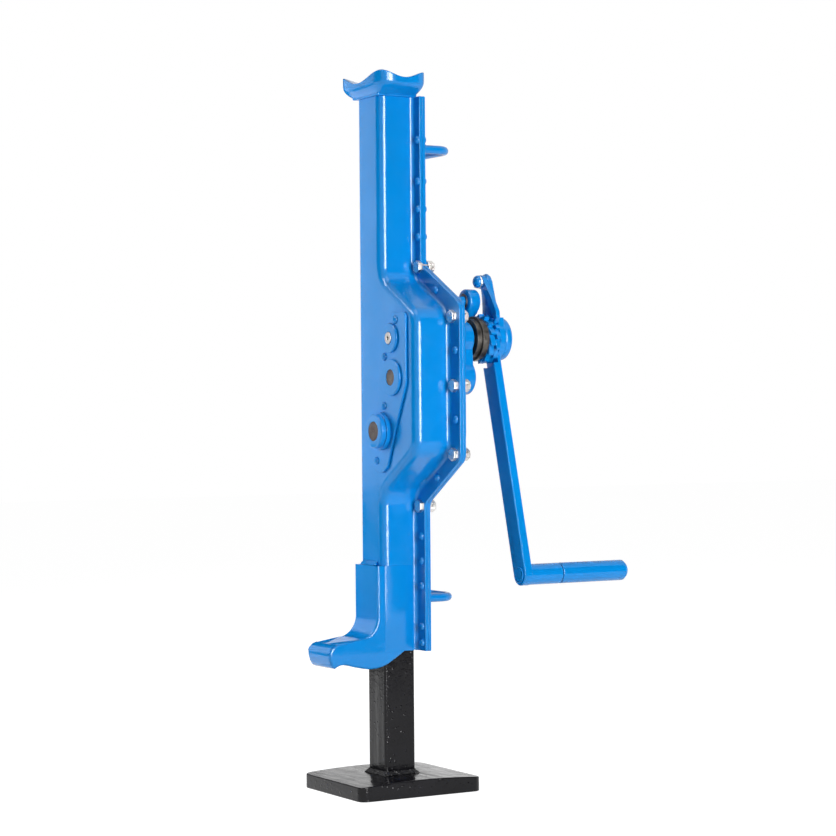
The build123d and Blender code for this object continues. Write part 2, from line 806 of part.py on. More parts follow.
with BuildPart() as rack_thrust_block:
    block_height = 80.0
    block_thickness = tube_inside - half_rack - guide_gap
    with Locations((-tube_inside + block_thickness / 2, 0, pinion_axis[1])):
        Box(block_thickness, 0.75 * rack_side, block_height)
save(rack_thrust_block, "rack_thrust_block")


def carrying_handle(height):
    """U-shaped handle of round bar, welded to the cover."""
    crossbar = cover_back + handle_reach - handle_bar_radius
    with BuildPart() as handle:
        with BuildLine() as route:
            FilletPolyline(
                (handle_spread, cover_back, height),
                (handle_spread, crossbar, height),
                (-handle_spread, crossbar, height),
                (-handle_spread, cover_back, height),
                radius=handle_bend,
            )
        with BuildSketch(Plane(origin=route.line @ 0, z_dir=route.line % 0)):
            Circle(handle_bar_radius)
        sweep()
    return handle


save(carrying_handle(housing_top - handle_inset), "upper_carrying_handle")
save(carrying_handle(housing_bottom + handle_inset), "lower_carrying_handle")

# Fasteners
bolt_head_front = flange_front - bolt_head_height
washer_back = cover_back + washer_thickness
nut_back = washer_back + nut_height


def hexagons(points, face):
    """Hexagonal heads or nuts with their flats towards the side wall."""
    with BuildSketch(upright(face[1])) as heads:
        with Locations(*points):
            RegularPolygon(bolt_flats / 2, 6, major_radius=False, rotation=30)
    extrude(heads.sketch, amount=face[1] - face[0])


with BuildPart() as cover_bolts:
    hexagons(bolt_points, (bolt_head_front, flange_front))
    with BuildSketch(upright(nut_back + bolt_radius / 2)):
        with Locations(*bolt_points):
            Circle(bolt_radius)
    extrude(amount=nut_back + bolt_radius / 2 - flange_front)
save(cover_bolts, "cover_bolts")

with BuildPart() as cover_washers:
    with BuildSketch(upright(washer_back)):
        with Locations(*bolt_points):
            Circle(washer_radius)
            Circle(bolt_radius + hole_gap, mode=Mode.SUBTRACT)
    extrude(amount=washer_thickness)
save(cover_washers, "cover_washers")

with BuildPart() as cover_nuts:
    hexagons(bolt_points, (washer_back, nut_back))
    with BuildSketch(upright(nut_back)):
        with Locations(*bolt_points):
            Circle(bolt_radius + hole_gap)
    extrude(amount=nut_height, mode=Mode.SUBTRACT)
save(cover_nuts, "cover_nuts")


def rivets(points, front, back, radius, back_head_height):
    """Rivets with a head on each side of what they hold."""
    with BuildPart() as group:
        for face, edge in (
            ((front - rivet_head_height, front), 0),
            ((back, back + back_head_height), -1),
        ):
            with BuildSketch(upright(face[1])) as heads:
                with Locations(*points):
                    Circle(radius)
            extrude(heads.sketch, amount=face[1] - face[0])
            chamfer(group.edges().group_by(Axis.Y)[edge], (face[1] - face[0]) / 2)
        with BuildSketch(upright(back)) as shanks:
            with Locations(*points):
                Circle(rivet_radius)
        extrude(shanks.sketch, amount=back - front)
    return group


save(
    rivets(rivet_points, flange_front, cover_back, rivet_head_radius, rivet_head_height),
    "flange_rivets",
)
save(
    rivets(plate_rivet_points, plate_front, web_back, plate_rivet_radius, inside_head_height),
    "bearing_plate_rivets",
)

# Gear train: directions from each pinion's axis to the gear that it drives
first_line = first_pair_angle + pi
second_line = second_pair_angle + pi


def tooth_half_angle(radius, teeth, module, shift, backlash):
    """Half the angle of an involute tooth at a radius."""
    pitch_radius = teeth * module / 2
    base = pitch_radius * cos(pressure_angle)
    roll = acos(min(1, base / radius))
    at_pitch = (pi / 2 + 2 * shift * tan(pressure_angle)) / teeth - backlash / pitch_radius / 4
    return at_pitch + tan(pressure_angle) - pressure_angle - (tan(roll) - roll)


def gear(centre, teeth, module, shift, tip, root, first_tooth, face, backlash=gear_backlash):
    """Spur gear with involute flanks, added to the current part.

    first_tooth is the direction in radians in which a tooth is centred.
    """
    flank_start = max(root, teeth * module / 2 * cos(pressure_angle))
    flank_middle = (flank_start + tip) / 2
    step = 2 * pi / teeth

    def half(radius):
        return tooth_half_angle(radius, teeth, module, shift, backlash)

    with BuildSketch(upright(face[1])) as outline:
        with BuildLine():
            for index in range(teeth):
                middle = first_tooth + index * step
                if flank_start > root:
                    Line(
                        polar(centre, root, middle - half(flank_start)),
                        polar(centre, flank_start, middle - half(flank_start)),
                    )
                    Line(
                        polar(centre, flank_start, middle + half(flank_start)),
                        polar(centre, root, middle + half(flank_start)),
                    )
                for side in (-1, 1):
                    ThreePointArc(
                        polar(centre, flank_start, middle + side * half(flank_start)),
                        polar(centre, flank_middle, middle + side * half(flank_middle)),
                        polar(centre, tip, middle + side * half(tip)),
                    )
                ThreePointArc(
                    polar(centre, tip, middle - half(tip)),
                    polar(centre, tip, middle),
                    polar(centre, tip, middle + half(tip)),
                )
                ThreePointArc(
                    polar(centre, root, middle + half(flank_start)),
                    polar(centre, root, middle + step / 2),
                    polar(centre, root, middle + step - half(flank_start)),
                )
        make_face()
    extrude(outline.sketch, amount=face[1] - face[0])


def keyway(axis, radius, face, mode):
    """Parallel key on top of a shaft, or the room for it."""
    with Locations((axis[0], (face[0] + face[1]) / 2, axis[1] + radius)):
        Box(key_side, face[1] - face[0], key_side, mode=mode)


second_key_face = (front_gear_face[0] + 1, front_gear_face[1] - 1)
final_key_face = (final_gear_face[0] + 1, final_gear_face[1] - 1)
shaft_front_end = low_boss_front + 0.5

with BuildPart() as drive_shaft:
    disc(drive_axis, drive_journal_radius, (shaft_front_end, front_pinion_face[0]))
    gear(
        drive_axis, first_pinion_teeth, first_module, first_shift, first_pinion_tip,
        first_distance - first_gear_tip - first_module / 4, first_line, front_pinion_face,
    )
    disc(drive_axis, drive_shaft_radius, (front_pinion_face[1], cap_floor))
    bore(drive_axis, end_screw_radius, (shaft_front_end, shaft_front_end + end_screw_depth))
save(drive_shaft, "drive_shaft")

with BuildPart() as drive_shaft_end_screw:
    head_front = shaft_front_end - end_screw_head
    disc(drive_axis, drive_journal_radius - 0.4, (head_front, shaft_front_end))
    disc(drive_axis, end_screw_radius, (shaft_front_end, shaft_front_end + end_screw_depth - 1))
    bore(drive_axis, end_screw_radius - 1.8, (head_front, head_front + 5))
save(drive_shaft_end_screw, "drive_shaft_end_screw")

with BuildPart() as second_shaft:
    disc(second_axis, second_shaft_radius, (shaft_front_end, second_bush_end - running_gap))
    gear(
        second_axis, second_pinion_teeth, second_module, second_shift, second_pinion_tip,
        second_distance - final_gear_tip - second_module / 4, second_line, second_pinion_face,
    )
    keyway(second_axis, second_shaft_radius, second_key_face, Mode.SUBTRACT)
save(second_shaft, "second_shaft")

second_hub_face = (front_gear_face[0] - hub_overhang, front_gear_face[1] + hub_overhang)
with BuildPart() as second_gear:
    gear(
        second_axis, first_gear_teeth, first_module, -first_shift, first_gear_tip,
        first_distance - first_pinion_tip - first_module / 4,
        first_line + pi + pi / first_gear_teeth, front_gear_face,
    )
    for face in (
        (front_gear_face[0], front_gear_face[0] + gear_web_recess),
        (front_gear_face[1] - gear_web_recess, front_gear_face[1]),
    ):
        bore(second_axis, first_gear_tip - gear_rim, face)
    disc(second_axis, second_shaft_radius + hub_wall, second_hub_face)
    bore(second_axis, second_shaft_radius, second_hub_face)
    keyway(second_axis, second_shaft_radius, second_key_face, Mode.SUBTRACT)
save(second_gear, "second_gear")

with BuildPart() as second_gear_key:
    keyway(second_axis, second_shaft_radius, second_key_face, Mode.ADD)
save(second_gear_key, "second_gear_key")

pinion_shaft_end = pinion_rear_end - sheet / 2 - running_gap
with BuildPart() as rack_pinion_shaft:
    disc(pinion_axis, pinion_shaft_radius, (pinion_boss_front, pinion_shaft_end))
    gear(
        pinion_axis, rack_pinion_teeth, rack_module, rack_pinion_shift, rack_pinion_tip,
        pinion_shaft_radius, pi, rack_pinion_face, rack_backlash,
    )
    keyway(pinion_axis, pinion_shaft_radius, final_key_face, Mode.SUBTRACT)
save(rack_pinion_shaft, "rack_pinion_shaft")

final_hub_face = (final_gear_face[0] - hub_overhang, pocket_inside - 1 - running_gap)
with BuildPart() as final_gear:
    gear(
        pinion_axis, final_gear_teeth, second_module, -second_shift, final_gear_tip,
        second_distance - second_pinion_tip - second_module / 4,
        second_line + pi + pi / final_gear_teeth, final_gear_face,
    )
    for face in (
        (final_gear_face[0], final_gear_face[0] + gear_web_recess),
        (final_gear_face[1] - gear_web_recess, final_gear_face[1]),
    ):
        bore(pinion_axis, final_gear_tip - gear_rim - 2, face)
    disc(pinion_axis, pinion_shaft_radius + hub_wall + 1, final_hub_face)
    bore(pinion_axis, pinion_shaft_radius, final_hub_face)
    keyway(pinion_axis, pinion_shaft_radius, final_key_face, Mode.SUBTRACT)
save(final_gear, "final_gear")

with BuildPart() as final_gear_key:
    keyway(pinion_axis, pinion_shaft_radius, final_key_face, Mode.ADD)
save(final_gear_key, "final_gear_key")


def ratchet(face, first_tooth):
    """Saw-toothed wheel on the drive shaft whose steep flanks face clockwise."""
    step = 2 * pi / ratchet_teeth
    root = ratchet_radius - ratchet_tooth_height
    points = []
    for index in range(ratchet_teeth):
        start = first_tooth + index * step
        points.append(polar(drive_axis, root, start))
        points.append(polar(drive_axis, ratchet_radius, start))
        points.append(polar(drive_axis, ratchet_radius - 0.6, start + step * 0.25))
    with BuildSketch(upright(face[1])) as outline:
        with BuildLine():
            Polyline(*points, close=True)
        make_face()
    extrude(outline.sketch, amount=face[1] - face[0])
    bore(drive_axis, drive_shaft_radius, face)


def ring(outer, face):
    """Flat ring on the drive shaft."""
    disc(drive_axis, outer, face)
    bore(drive_axis, drive_shaft_radius, face)


# Brake, ratchet wheels and spacer on the drive shaft, from front to back
with BuildPart() as brake_flange:
    ring(brake_disc_radius, brake_flange_face)
save(brake_flange, "brake_flange")

with BuildPart() as front_friction_disc:
    ring(friction_disc_radius, front_friction_face)
save(front_friction_disc, "front_friction_disc")

with BuildPart() as rear_friction_disc:
    ring(friction_disc_radius - 2, rear_friction_face)
save(rear_friction_disc, "rear_friction_disc")

with BuildPart() as holding_ratchet:
    ratchet(holding_ratchet_face, radians(163))
save(holding_ratchet, "holding_ratchet")

with BuildPart() as ratchet_spacer:
    ring(brake_disc_radius - 3, spacer_face)
save(ratchet_spacer, "ratchet_spacer")

drive_tooth_angle = radians(50)
with BuildPart() as drive_ratchet:
    ratchet(drive_ratchet_face, drive_tooth_angle)
save(drive_ratchet, "drive_ratchet")

# Crank arm: a stepped bar with a round eye and a horn that carries the drive pawl
arm_direction = degrees(crank_tilt) - 90
arm_middle = (
    (drive_axis[0] + spindle_axis[0]) / 2,
    (drive_axis[1] + spindle_axis[1]) / 2,
)
with BuildPart() as crank_arm:
    for face, cut in ((arm_face, True), ((eye_face[0], arm_face[1]), False)):
        with BuildSketch(upright(face[1])):
            with Locations(arm_middle):
                SlotCenterToCenter(crank_radius, arm_width, rotation=arm_direction)
            if cut:
                with Locations(drive_axis):
                    Circle(ratchet_radius + arm_root_clearance, mode=Mode.SUBTRACT)
        extrude(amount=face[1] - face[0])
    with BuildSketch(upright(eye_face[1])):
        with Locations(drive_axis):
            Circle(eye_radius)
    extrude(amount=eye_face[1] - eye_face[0])
    with BuildSketch(upright(eye_face[1])):
        with Locations(drive_axis):
            Circle(eye_radius - 4)
        with Locations(from_axis(drive_axis, 7, horn_length / 2)):
            Circle(horn_tip_radius + 3)
        with Locations(stud_axis):
            Circle(horn_tip_radius)
        make_hull()
    extrude(amount=eye_face[1] - eye_face[0])
    chamfer(
        crank_arm.edges().filter_by(
            lambda edge: abs(edge.bounding_box().size.Y) < 0.01
            and abs(edge.center().Y - arm_face[0]) < 0.01
        ),
        1.0,
    )
    bore(drive_axis, drive_shaft_radius, eye_face)
    bore(stud_axis, pawl_stud_radius, eye_face)
    bore(spindle_axis, spindle_radius, arm_face)
save(crank_arm, "crank_arm")

with BuildPart() as crank_cap:
    disc(drive_axis, cap_radius, cap_face)
    chamfer(crank_cap.edges().group_by(Axis.Y)[0], 1.0)
    chamfer(crank_cap.edges().group_by(Axis.Y)[-1], 2.0)
    bore(drive_axis, drive_shaft_radius, (cap_face[0], cap_floor))
save(crank_cap, "crank_cap")

# Crank handle: a riveted spindle, a fixed collar, a turning sleeve and an end washer
with BuildPart() as handle_spindle:
    disc(spindle_axis, spindle_radius, (arm_face[0], grip_washer_face[0]))
    disc(spindle_axis, spindle_radius + 2, (arm_face[0] - spindle_head_height, arm_face[0]))
save(handle_spindle, "handle_spindle")

with BuildPart() as handle_collar:
    disc(spindle_axis, grip_radius, collar_face)
    chamfer(handle_collar.edges().group_by(Axis.Y)[-1], 0.8)
    bore(spindle_axis, spindle_radius, collar_face)
save(handle_collar, "handle_collar")

with BuildPart() as grip_sleeve:
    disc(spindle_axis, grip_radius, sleeve_face)
    chamfer(grip_sleeve.edges().group_by(Axis.Y)[0], 0.8)
    fillet(grip_sleeve.edges().group_by(Axis.Y)[-1], 2.0)
    bore(spindle_axis, spindle_radius + shaft_fit, sleeve_face)
save(grip_sleeve, "grip_sleeve")

with BuildPart() as grip_end_washer:
    disc(spindle_axis, spindle_radius + 2.5, grip_washer_face)
    chamfer(grip_end_washer.edges().group_by(Axis.Y)[-1], 0.6)
save(grip_end_washer, "grip_end_washer")

# Drive pawl: a hook on the horn that pulls the drive ratchet round
pawl_face = (drive_ratchet_face[0] + running_gap, eye_face[0] - running_gap)
hook_gap = 0.5
hook_angle = drive_tooth_angle - 0.012 - hook_gap / ratchet_radius
with BuildPart() as drive_pawl:
    with BuildSketch(upright(pawl_face[1])):
        with Locations(stud_axis):
            Circle(horn_tip_radius - 2)
        with BuildLine():
            Polyline(
                from_axis(stud_axis, 6, 5),
                from_axis(stud_axis, 23, -17),
                from_axis(stud_axis, 35, -35),
                from_axis(stud_axis, 36, -43),
                polar(drive_axis, ratchet_radius - 2.5, drive_tooth_angle - 0.16),
                polar(drive_axis, ratchet_radius - 3.0, hook_angle),
                polar(drive_axis, ratchet_radius + 1.5, hook_angle),
                from_axis(stud_axis, 19, -29),
                from_axis(stud_axis, 2, -7),
                close=True,
            )
        make_face()
    extrude(amount=pawl_face[1] - pawl_face[0])
    bore(stud_axis, pawl_stud_radius + shaft_fit, pawl_face)
save(drive_pawl, "drive_pawl")

with BuildPart() as drive_pawl_stud:
    disc(stud_axis, pawl_stud_radius, (drive_ratchet_face[0], eye_face[1] + 1))
    disc(
        stud_axis, stud_head_radius,
        (drive_ratchet_face[0] - stud_head_height, drive_ratchet_face[0]),
    )
    chamfer(drive_pawl_stud.edges().group_by(Axis.Y)[0], stud_head_height * 0.8)
save(drive_pawl_stud, "drive_pawl_stud")

# Holding pawl: a long hub on a pin in the cover, with its tip on the holding ratchet
with BuildPart() as holding_pawl_pin:
    disc(holding_pin, holding_pin_radius, (pocket_inside, holding_ratchet_face[1] + 0.3))
    disc(holding_pin, holding_pin_radius + 4, (pocket_back, pocket_back + sheet))
save(holding_pawl_pin, "holding_pawl_pin")

crest = ratchet_radius + pawl_crest_gap
tip_angle = radians(166)
pawl_shoulder = from_axis(holding_pin, -14, 0)
pawl_elbow = from_axis(holding_pin, -20, -26)
pawl_toe = polar(drive_axis, crest + 3, tip_angle + 0.1)
pawl_tip = polar(drive_axis, crest, tip_angle)
pawl_heel = polar(drive_axis, crest + 4, tip_angle - 0.75)
with BuildPart() as holding_pawl:
    disc(holding_pin, pawl_hub_radius, pawl_hub_face)
    with BuildSketch(upright(pawl_arm_face[1])) as pawl_arm:
        with BuildLine():
            Polyline(pawl_heel, holding_pin, pawl_shoulder, pawl_elbow, pawl_toe, pawl_tip)
            ThreePointArc(
                pawl_tip, polar(drive_axis, crest + 0.8, tip_angle - 0.3), pawl_heel
            )
        make_face()
    extrude(pawl_arm.sketch, amount=pawl_arm_width)
    bore(holding_pin, holding_pin_radius + shaft_fit, pawl_hub_face)
save(holding_pawl, "holding_pawl")

with BuildPart() as holding_pawl_clips:
    front_clip = pawl_hub_face[0] - running_gap - pawl_clip_thickness
    rear_clip = pawl_hub_face[1] + running_gap
    for face in (
        (front_clip, front_clip + pawl_clip_thickness),
        (rear_clip, rear_clip + pawl_clip_thickness),
    ):
        disc(holding_pin, holding_pin_radius + 3, face)
        bore(holding_pin, holding_pin_radius, face)
save(holding_pawl_clips, "holding_pawl_clips")
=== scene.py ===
"""A mechanical rack jack in blue enamel: a geared housing that climbs a black rack on its foot.

The housing carries the crown head on top and the toe claw at the bottom.  The crank, its two
ratchets and the turning grip stand behind it.  +Z is up and the claw points to -Y.
"""

import functools
import json
import math

import bmesh
import bpy
from mathutils import Matrix, Vector, noise

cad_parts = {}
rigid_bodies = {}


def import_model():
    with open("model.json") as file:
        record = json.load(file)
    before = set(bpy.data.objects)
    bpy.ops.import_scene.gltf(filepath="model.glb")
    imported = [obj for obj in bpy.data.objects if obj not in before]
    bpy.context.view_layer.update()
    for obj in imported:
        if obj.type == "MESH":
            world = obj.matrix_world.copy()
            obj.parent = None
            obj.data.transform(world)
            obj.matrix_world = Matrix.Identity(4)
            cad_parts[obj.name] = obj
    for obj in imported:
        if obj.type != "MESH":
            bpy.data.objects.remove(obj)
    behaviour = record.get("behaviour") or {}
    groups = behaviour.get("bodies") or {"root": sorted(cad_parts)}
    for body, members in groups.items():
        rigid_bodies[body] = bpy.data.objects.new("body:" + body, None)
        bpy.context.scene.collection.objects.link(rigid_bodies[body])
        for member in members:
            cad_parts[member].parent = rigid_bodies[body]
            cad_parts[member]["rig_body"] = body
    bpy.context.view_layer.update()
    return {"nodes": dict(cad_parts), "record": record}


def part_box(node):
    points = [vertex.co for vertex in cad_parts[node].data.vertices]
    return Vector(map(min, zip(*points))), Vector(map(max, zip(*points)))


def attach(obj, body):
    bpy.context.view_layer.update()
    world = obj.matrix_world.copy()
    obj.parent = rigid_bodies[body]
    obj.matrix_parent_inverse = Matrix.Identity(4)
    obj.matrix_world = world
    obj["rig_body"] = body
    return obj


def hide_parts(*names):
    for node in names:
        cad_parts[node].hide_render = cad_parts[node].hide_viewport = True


bl_info = {
    "name": "Rack jack",
    "version": (1, 0, 0),
    "blender": (4, 5, 0),
    "location": "View3D > Sidebar > Rack jack",
    "description": "Dresses the packed rack jack in its enamel, steel and zinc finishes",
    "category": "Object",
}

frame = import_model()
MM = 0.001
WHITE = (1.0, 1.0, 1.0, 1.0)
CREASE = 32.0  # degrees between two faces, from which their edge is crisp
SMOOTH = 180.0  # a crease angle that leaves every edge smooth


# ---------------------------------------------------------------- finishes
class Finish:
    """A procedural finish under construction; its patterns follow the piece's own coordinates."""

    def __init__(self, name, **sockets):
        self.material = bpy.data.materials.new(f"{name}_finish")
        self.material.use_nodes = True
        self.nodes = self.material.node_tree.nodes
        self.links = self.material.node_tree.links
        self.shader = self.nodes["Principled BSDF"]
        for socket, value in sockets.items():
            self.shader.inputs[socket.replace("_", " ")].default_value = value
        self.coordinates = self.nodes.new("ShaderNodeTexCoord").outputs["Object"]
        self.normal = None

    def stretched(self, along):
        """The coordinates with each axis scaled: a pattern is drawn out where it is under one."""
        mapping = self.nodes.new("ShaderNodeMapping")
        mapping.inputs["Scale"].default_value = along
        self.links.new(self.coordinates, mapping.inputs["Vector"])
        return mapping.outputs["Vector"]

    def cloud(self, scale, detail=4.0, rough=0.55, along=None):
        """Soft noise whose patches are about 1 / scale metres across."""
        texture = self.nodes.new("ShaderNodeTexNoise")
        texture.inputs["Scale"].default_value = scale
        texture.inputs["Detail"].default_value = detail
        texture.inputs["Roughness"].default_value = rough
        vector = self.stretched(along) if along else self.coordinates
        self.links.new(vector, texture.inputs["Vector"])
        return texture.outputs["Fac"]

    def cells(self, scale):
        """The distance from the middle of cells that are about 1 / scale metres across."""
        texture = self.nodes.new("ShaderNodeTexVoronoi")
        texture.inputs["Scale"].default_value = scale
        self.links.new(self.coordinates, texture.inputs["Vector"])
        return texture.outputs["Distance"]

    def graded(self, value, between, onto):
        """The value with one pair of limits stretched onto another."""
        grade = self.nodes.new("ShaderNodeMapRange")
        for socket, number in zip(("From Min", "From Max", "To Min", "To Max"), (*between, *onto)):
            grade.inputs[socket].default_value = number
        self.links.new(value, grade.inputs["Value"])
        return grade.outputs["Result"]

    def colour(self, patches, *stops):
        """Colours the finish by a ramp over the patches; each stop is (position, colour)."""
        ramp = self.nodes.new("ShaderNodeValToRGB")
        elements = ramp.color_ramp.elements
        while len(elements) < len(stops):
            elements.new(0.5)
        for element, (position, colour) in zip(elements, stops):
            element.position = position
            element.color = (*colour, 1.0)
        self.links.new(patches, ramp.inputs["Fac"])
        self.links.new(ramp.outputs["Color"], self.shader.inputs["Base Color"])

    def roughness(self, patches, low, high, between=(0.3, 0.7)):
        """Makes the finish glossier and duller from patch to patch."""
        graded = self.graded(patches, between, (low, high))
        self.links.new(graded, self.shader.inputs["Roughness"])

    def relief(self, height, depth, strength):
        """Lays one more layer of bump over the ones before; its depth is in metres."""
        bump = self.nodes.new("ShaderNodeBump")
        bump.inputs["Strength"].default_value = strength
        bump.inputs["Distance"].default_value = depth
        self.links.new(height, bump.inputs["Height"])
        if self.normal:
            self.links.new(self.normal, bump.inputs["Normal"])
        self.normal = bump.outputs["Normal"]
        self.links.new(self.normal, self.shader.inputs["Normal"])


def shade(colour, share):
    """The colour made darker by a share under one, or lighter by one over it."""
    return tuple(channel * share for channel in colour)


def blue_enamel(colours, name="blue_enamel", weld=False):
    """Thick glossy enamel with a slight orange peel, and lumps where it covers a weld."""
    finish = Finish(name, Roughness=0.16, IOR=1.42)
    blue = tuple(colours.enamel_blue)
    drift = finish.cloud(9.0, detail=3.0)
    finish.colour(drift, (0.3, shade(blue, 0.93)), (0.7, shade(blue, 1.04)))
    finish.roughness(finish.cloud(38.0), low=0.09, high=0.2)
    waves = finish.cloud(70.0, detail=2.0)
    finish.relief(waves, depth=0.0012, strength=0.16)
    peel = finish.cloud(330.0, detail=2.0)
    finish.relief(peel, depth=0.0003, strength=0.22)
    if weld:
        lumps = finish.cloud(190.0, detail=5.0)
        finish.relief(lumps, depth=0.002, strength=0.6)
    return finish.material


def black_enamel(colours, name="black_enamel", grain=(3.0, 3.0, 0.35), weld=False):
    """Brushed-on black paint: a blotchy gloss, blisters, and runs drawn out along its grain."""
    finish = Finish(name, Roughness=0.22, IOR=1.33)
    black = tuple(colours.enamel_black)
    drift = finish.cloud(24.0, detail=5.0, rough=0.6)
    finish.colour(drift, (0.32, shade(black, 0.7)), (0.72, shade(black, 1.8)))
    blotches = finish.cloud(46.0, detail=5.0, rough=0.65)
    finish.roughness(blotches, low=0.06, high=0.24, between=(0.32, 0.68))
    sags = finish.cloud(13.0, detail=2.0, rough=0.5, along=grain)
    finish.relief(sags, depth=0.006, strength=0.2)
    runs = finish.cloud(22.0, rough=0.6, along=grain)
    finish.relief(runs, depth=0.003, strength=0.32)
    pits = finish.cloud(230.0, detail=3.0, rough=0.6)
    finish.relief(pits, depth=0.0006, strength=0.3)
    blisters = finish.graded(finish.cells(150.0), between=(0.06, 0.22), onto=(1.0, 0.0))
    finish.relief(blisters, depth=0.0006, strength=0.5)
    if weld:
        lumps = finish.cloud(130.0, rough=0.6)
        finish.relief(lumps, depth=0.0025, strength=0.8)
    return finish.material


def zinc_plate(colours):
    """Bright zinc with a faint warm and violet bloom."""
    finish = Finish("zinc", Roughness=0.3, Metallic=1.0)
    zinc = tuple(colours.zinc)
    violet = (zinc[0], zinc[1] * 0.86, zinc[2] * 0.92)
    bloom = finish.cloud(160.0, detail=3.0, rough=0.6)
    finish.colour(bloom, (0.3, shade(zinc, 0.8)), (0.52, zinc), (0.7, violet))
    finish.roughness(finish.cloud(300.0), low=0.22, high=0.42)
    finish.relief(finish.cloud(260.0), depth=0.0008, strength=0.6)
    return finish.material


def dark_steel(colours):
    """Oiled steel that is left black from the furnace."""
    finish = Finish("dark_steel", Roughness=0.4, Metallic=0.85)
    steel = tuple(colours.steel)
    stain = finish.cloud(60.0, detail=5.0, rough=0.6)
    finish.colour(stain, (0.3, shade(steel, 0.12)), (0.75, shade(steel, 0.3)))
    finish.roughness(finish.cloud(120.0), low=0.28, high=0.5)
    finish.relief(finish.cloud(420.0, detail=3.0), depth=0.0003, strength=0.35)
    return finish.material


def turned_steel(colours):
    """Turned shaft steel with a brown-grey film and fine tool marks."""
    finish = Finish("bare_steel", Roughness=0.36, Metallic=0.9)
    steel = tuple(colours.steel)
    brown = (steel[0] * 0.2, steel[1] * 0.16, steel[2] * 0.17)
    film = finish.cloud(90.0, rough=0.6)
    finish.colour(film, (0.35, brown), (0.75, shade(steel, 0.34)))
    finish.roughness(finish.cloud(260.0), low=0.24, high=0.46)
    tool_marks = finish.cloud(700.0, detail=2.0, rough=0.5, along=(1.0, 0.2, 1.0))
    finish.relief(tool_marks, depth=0.0002, strength=0.3)
    return finish.material


def bush_bronze(colours):
    """Bearing bronze with a dull brown stain."""
    finish = Finish("bush_bronze", Roughness=0.34, Metallic=1.0)
    bronze = tuple(colours.bronze)
    stain = finish.cloud(110.0, rough=0.6)
    finish.colour(stain, (0.3, shade(bronze, 0.6)), (0.7, bronze))
    finish.roughness(finish.cloud(200.0), low=0.26, high=0.44)
    finish.relief(finish.cloud(520.0, detail=2.0), depth=0.0002, strength=0.3)
    return finish.material


MAKERS = {
    "blue_enamel": blue_enamel,
    "blue_weld": functools.partial(blue_enamel, name="blue_weld", weld=True),
    "black_enamel": black_enamel,
    "foot_black": functools.partial(black_enamel, name="foot_black", grain=(0.5, 3.0, 3.0)),
    "black_weld": functools.partial(black_enamel, name="black_weld", weld=True),
    "zinc": zinc_plate,
    "dark_steel": dark_steel,
    "bare_steel": turned_steel,
    "bush_bronze": bush_bronze,
}


def finish_named(name):
    """The finish of that name, made when it is first asked for."""
    for made in bpy.data.materials:
        if made.get("jack_finish") == name:
            return made
    made = MAKERS[name](bpy.context.scene.rack_jack_looks)
    made["jack_finish"] = name
    return made


# ---------------------------------------------------------------- pieces
SLOTS = {part["node"]: part["material_slot"] for part in frame["record"]["subparts"]}


def body_of(node):
    """The name of the body that carries the node."""
    return frame["nodes"][node]["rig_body"]


def box_in_mm(node):
    """The lowest and highest corner of the node, in millimetres."""
    return [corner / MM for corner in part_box(node)]


def mesh_of(shape, name):
    """The shape as a mesh of that name."""
    mesh = bpy.data.meshes.new(name)
    shape.to_mesh(mesh)
    shape.free()
    return mesh


def added(name, data):
    """A new object in the scene."""
    thing = bpy.data.objects.new(name, data)
    bpy.context.collection.objects.link(thing)
    return thing


def finished(shape, name, body, slot, finish, bevel=0.0, segments=2, crease=CREASE, clamp=False):
    """A piece with smooth faces and crisp creases that rides on the body; bevel is in mm."""
    mesh = mesh_of(shape, name)
    piece = added(name, mesh)
    mesh.materials.append(finish_named(finish))
    mesh.shade_smooth()
    mesh.set_sharp_from_angle(angle=math.radians(crease))
    if bevel:
        softening = piece.modifiers.new("Softened edges", "BEVEL")
        softening.width = bevel * MM
        softening.segments = segments
        softening.limit_method = "ANGLE"
        softening.angle_limit = math.radians(crease)
        softening.use_clamp_overlap = clamp
        softening.miter_outer = "MITER_ARC"
        softening.harden_normals = True
    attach(piece, body)
    return piece


def placed(shape, name, node, finish=None, **edges):
    """The finished piece on the node's body, in the node's place."""
    finish = finish or SLOTS[node]
    slot = finish if finish in SLOTS.values() else SLOTS[node]
    piece = finished(shape, name, body_of(node), slot, finish, **edges)
    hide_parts(node)
    return piece


def merged_copy(node):
    """The node's shape with its loose triangles joined at their corners."""
    shape = bmesh.new()
    shape.from_mesh(frame["nodes"][node].data)
    bmesh.ops.remove_doubles(shape, verts=shape.verts, dist=2e-6)
    return shape


def whole_faces(node, flat=0.6):
    """The node's shape with the triangles that are flat to each other merged into one face."""
    shape = merged_copy(node)
    bmesh.ops.dissolve_limit(
        shape, angle_limit=math.radians(flat), verts=shape.verts, edges=shape.edges
    )
    return shape


def dressed(node, bevel=0.6, finish=None, **edges):
    """The CAD shape of a node with its edges eased by bevel millimetres."""
    return placed(whole_faces(node), f"{node}_dressed", node, finish, bevel=bevel, **edges)


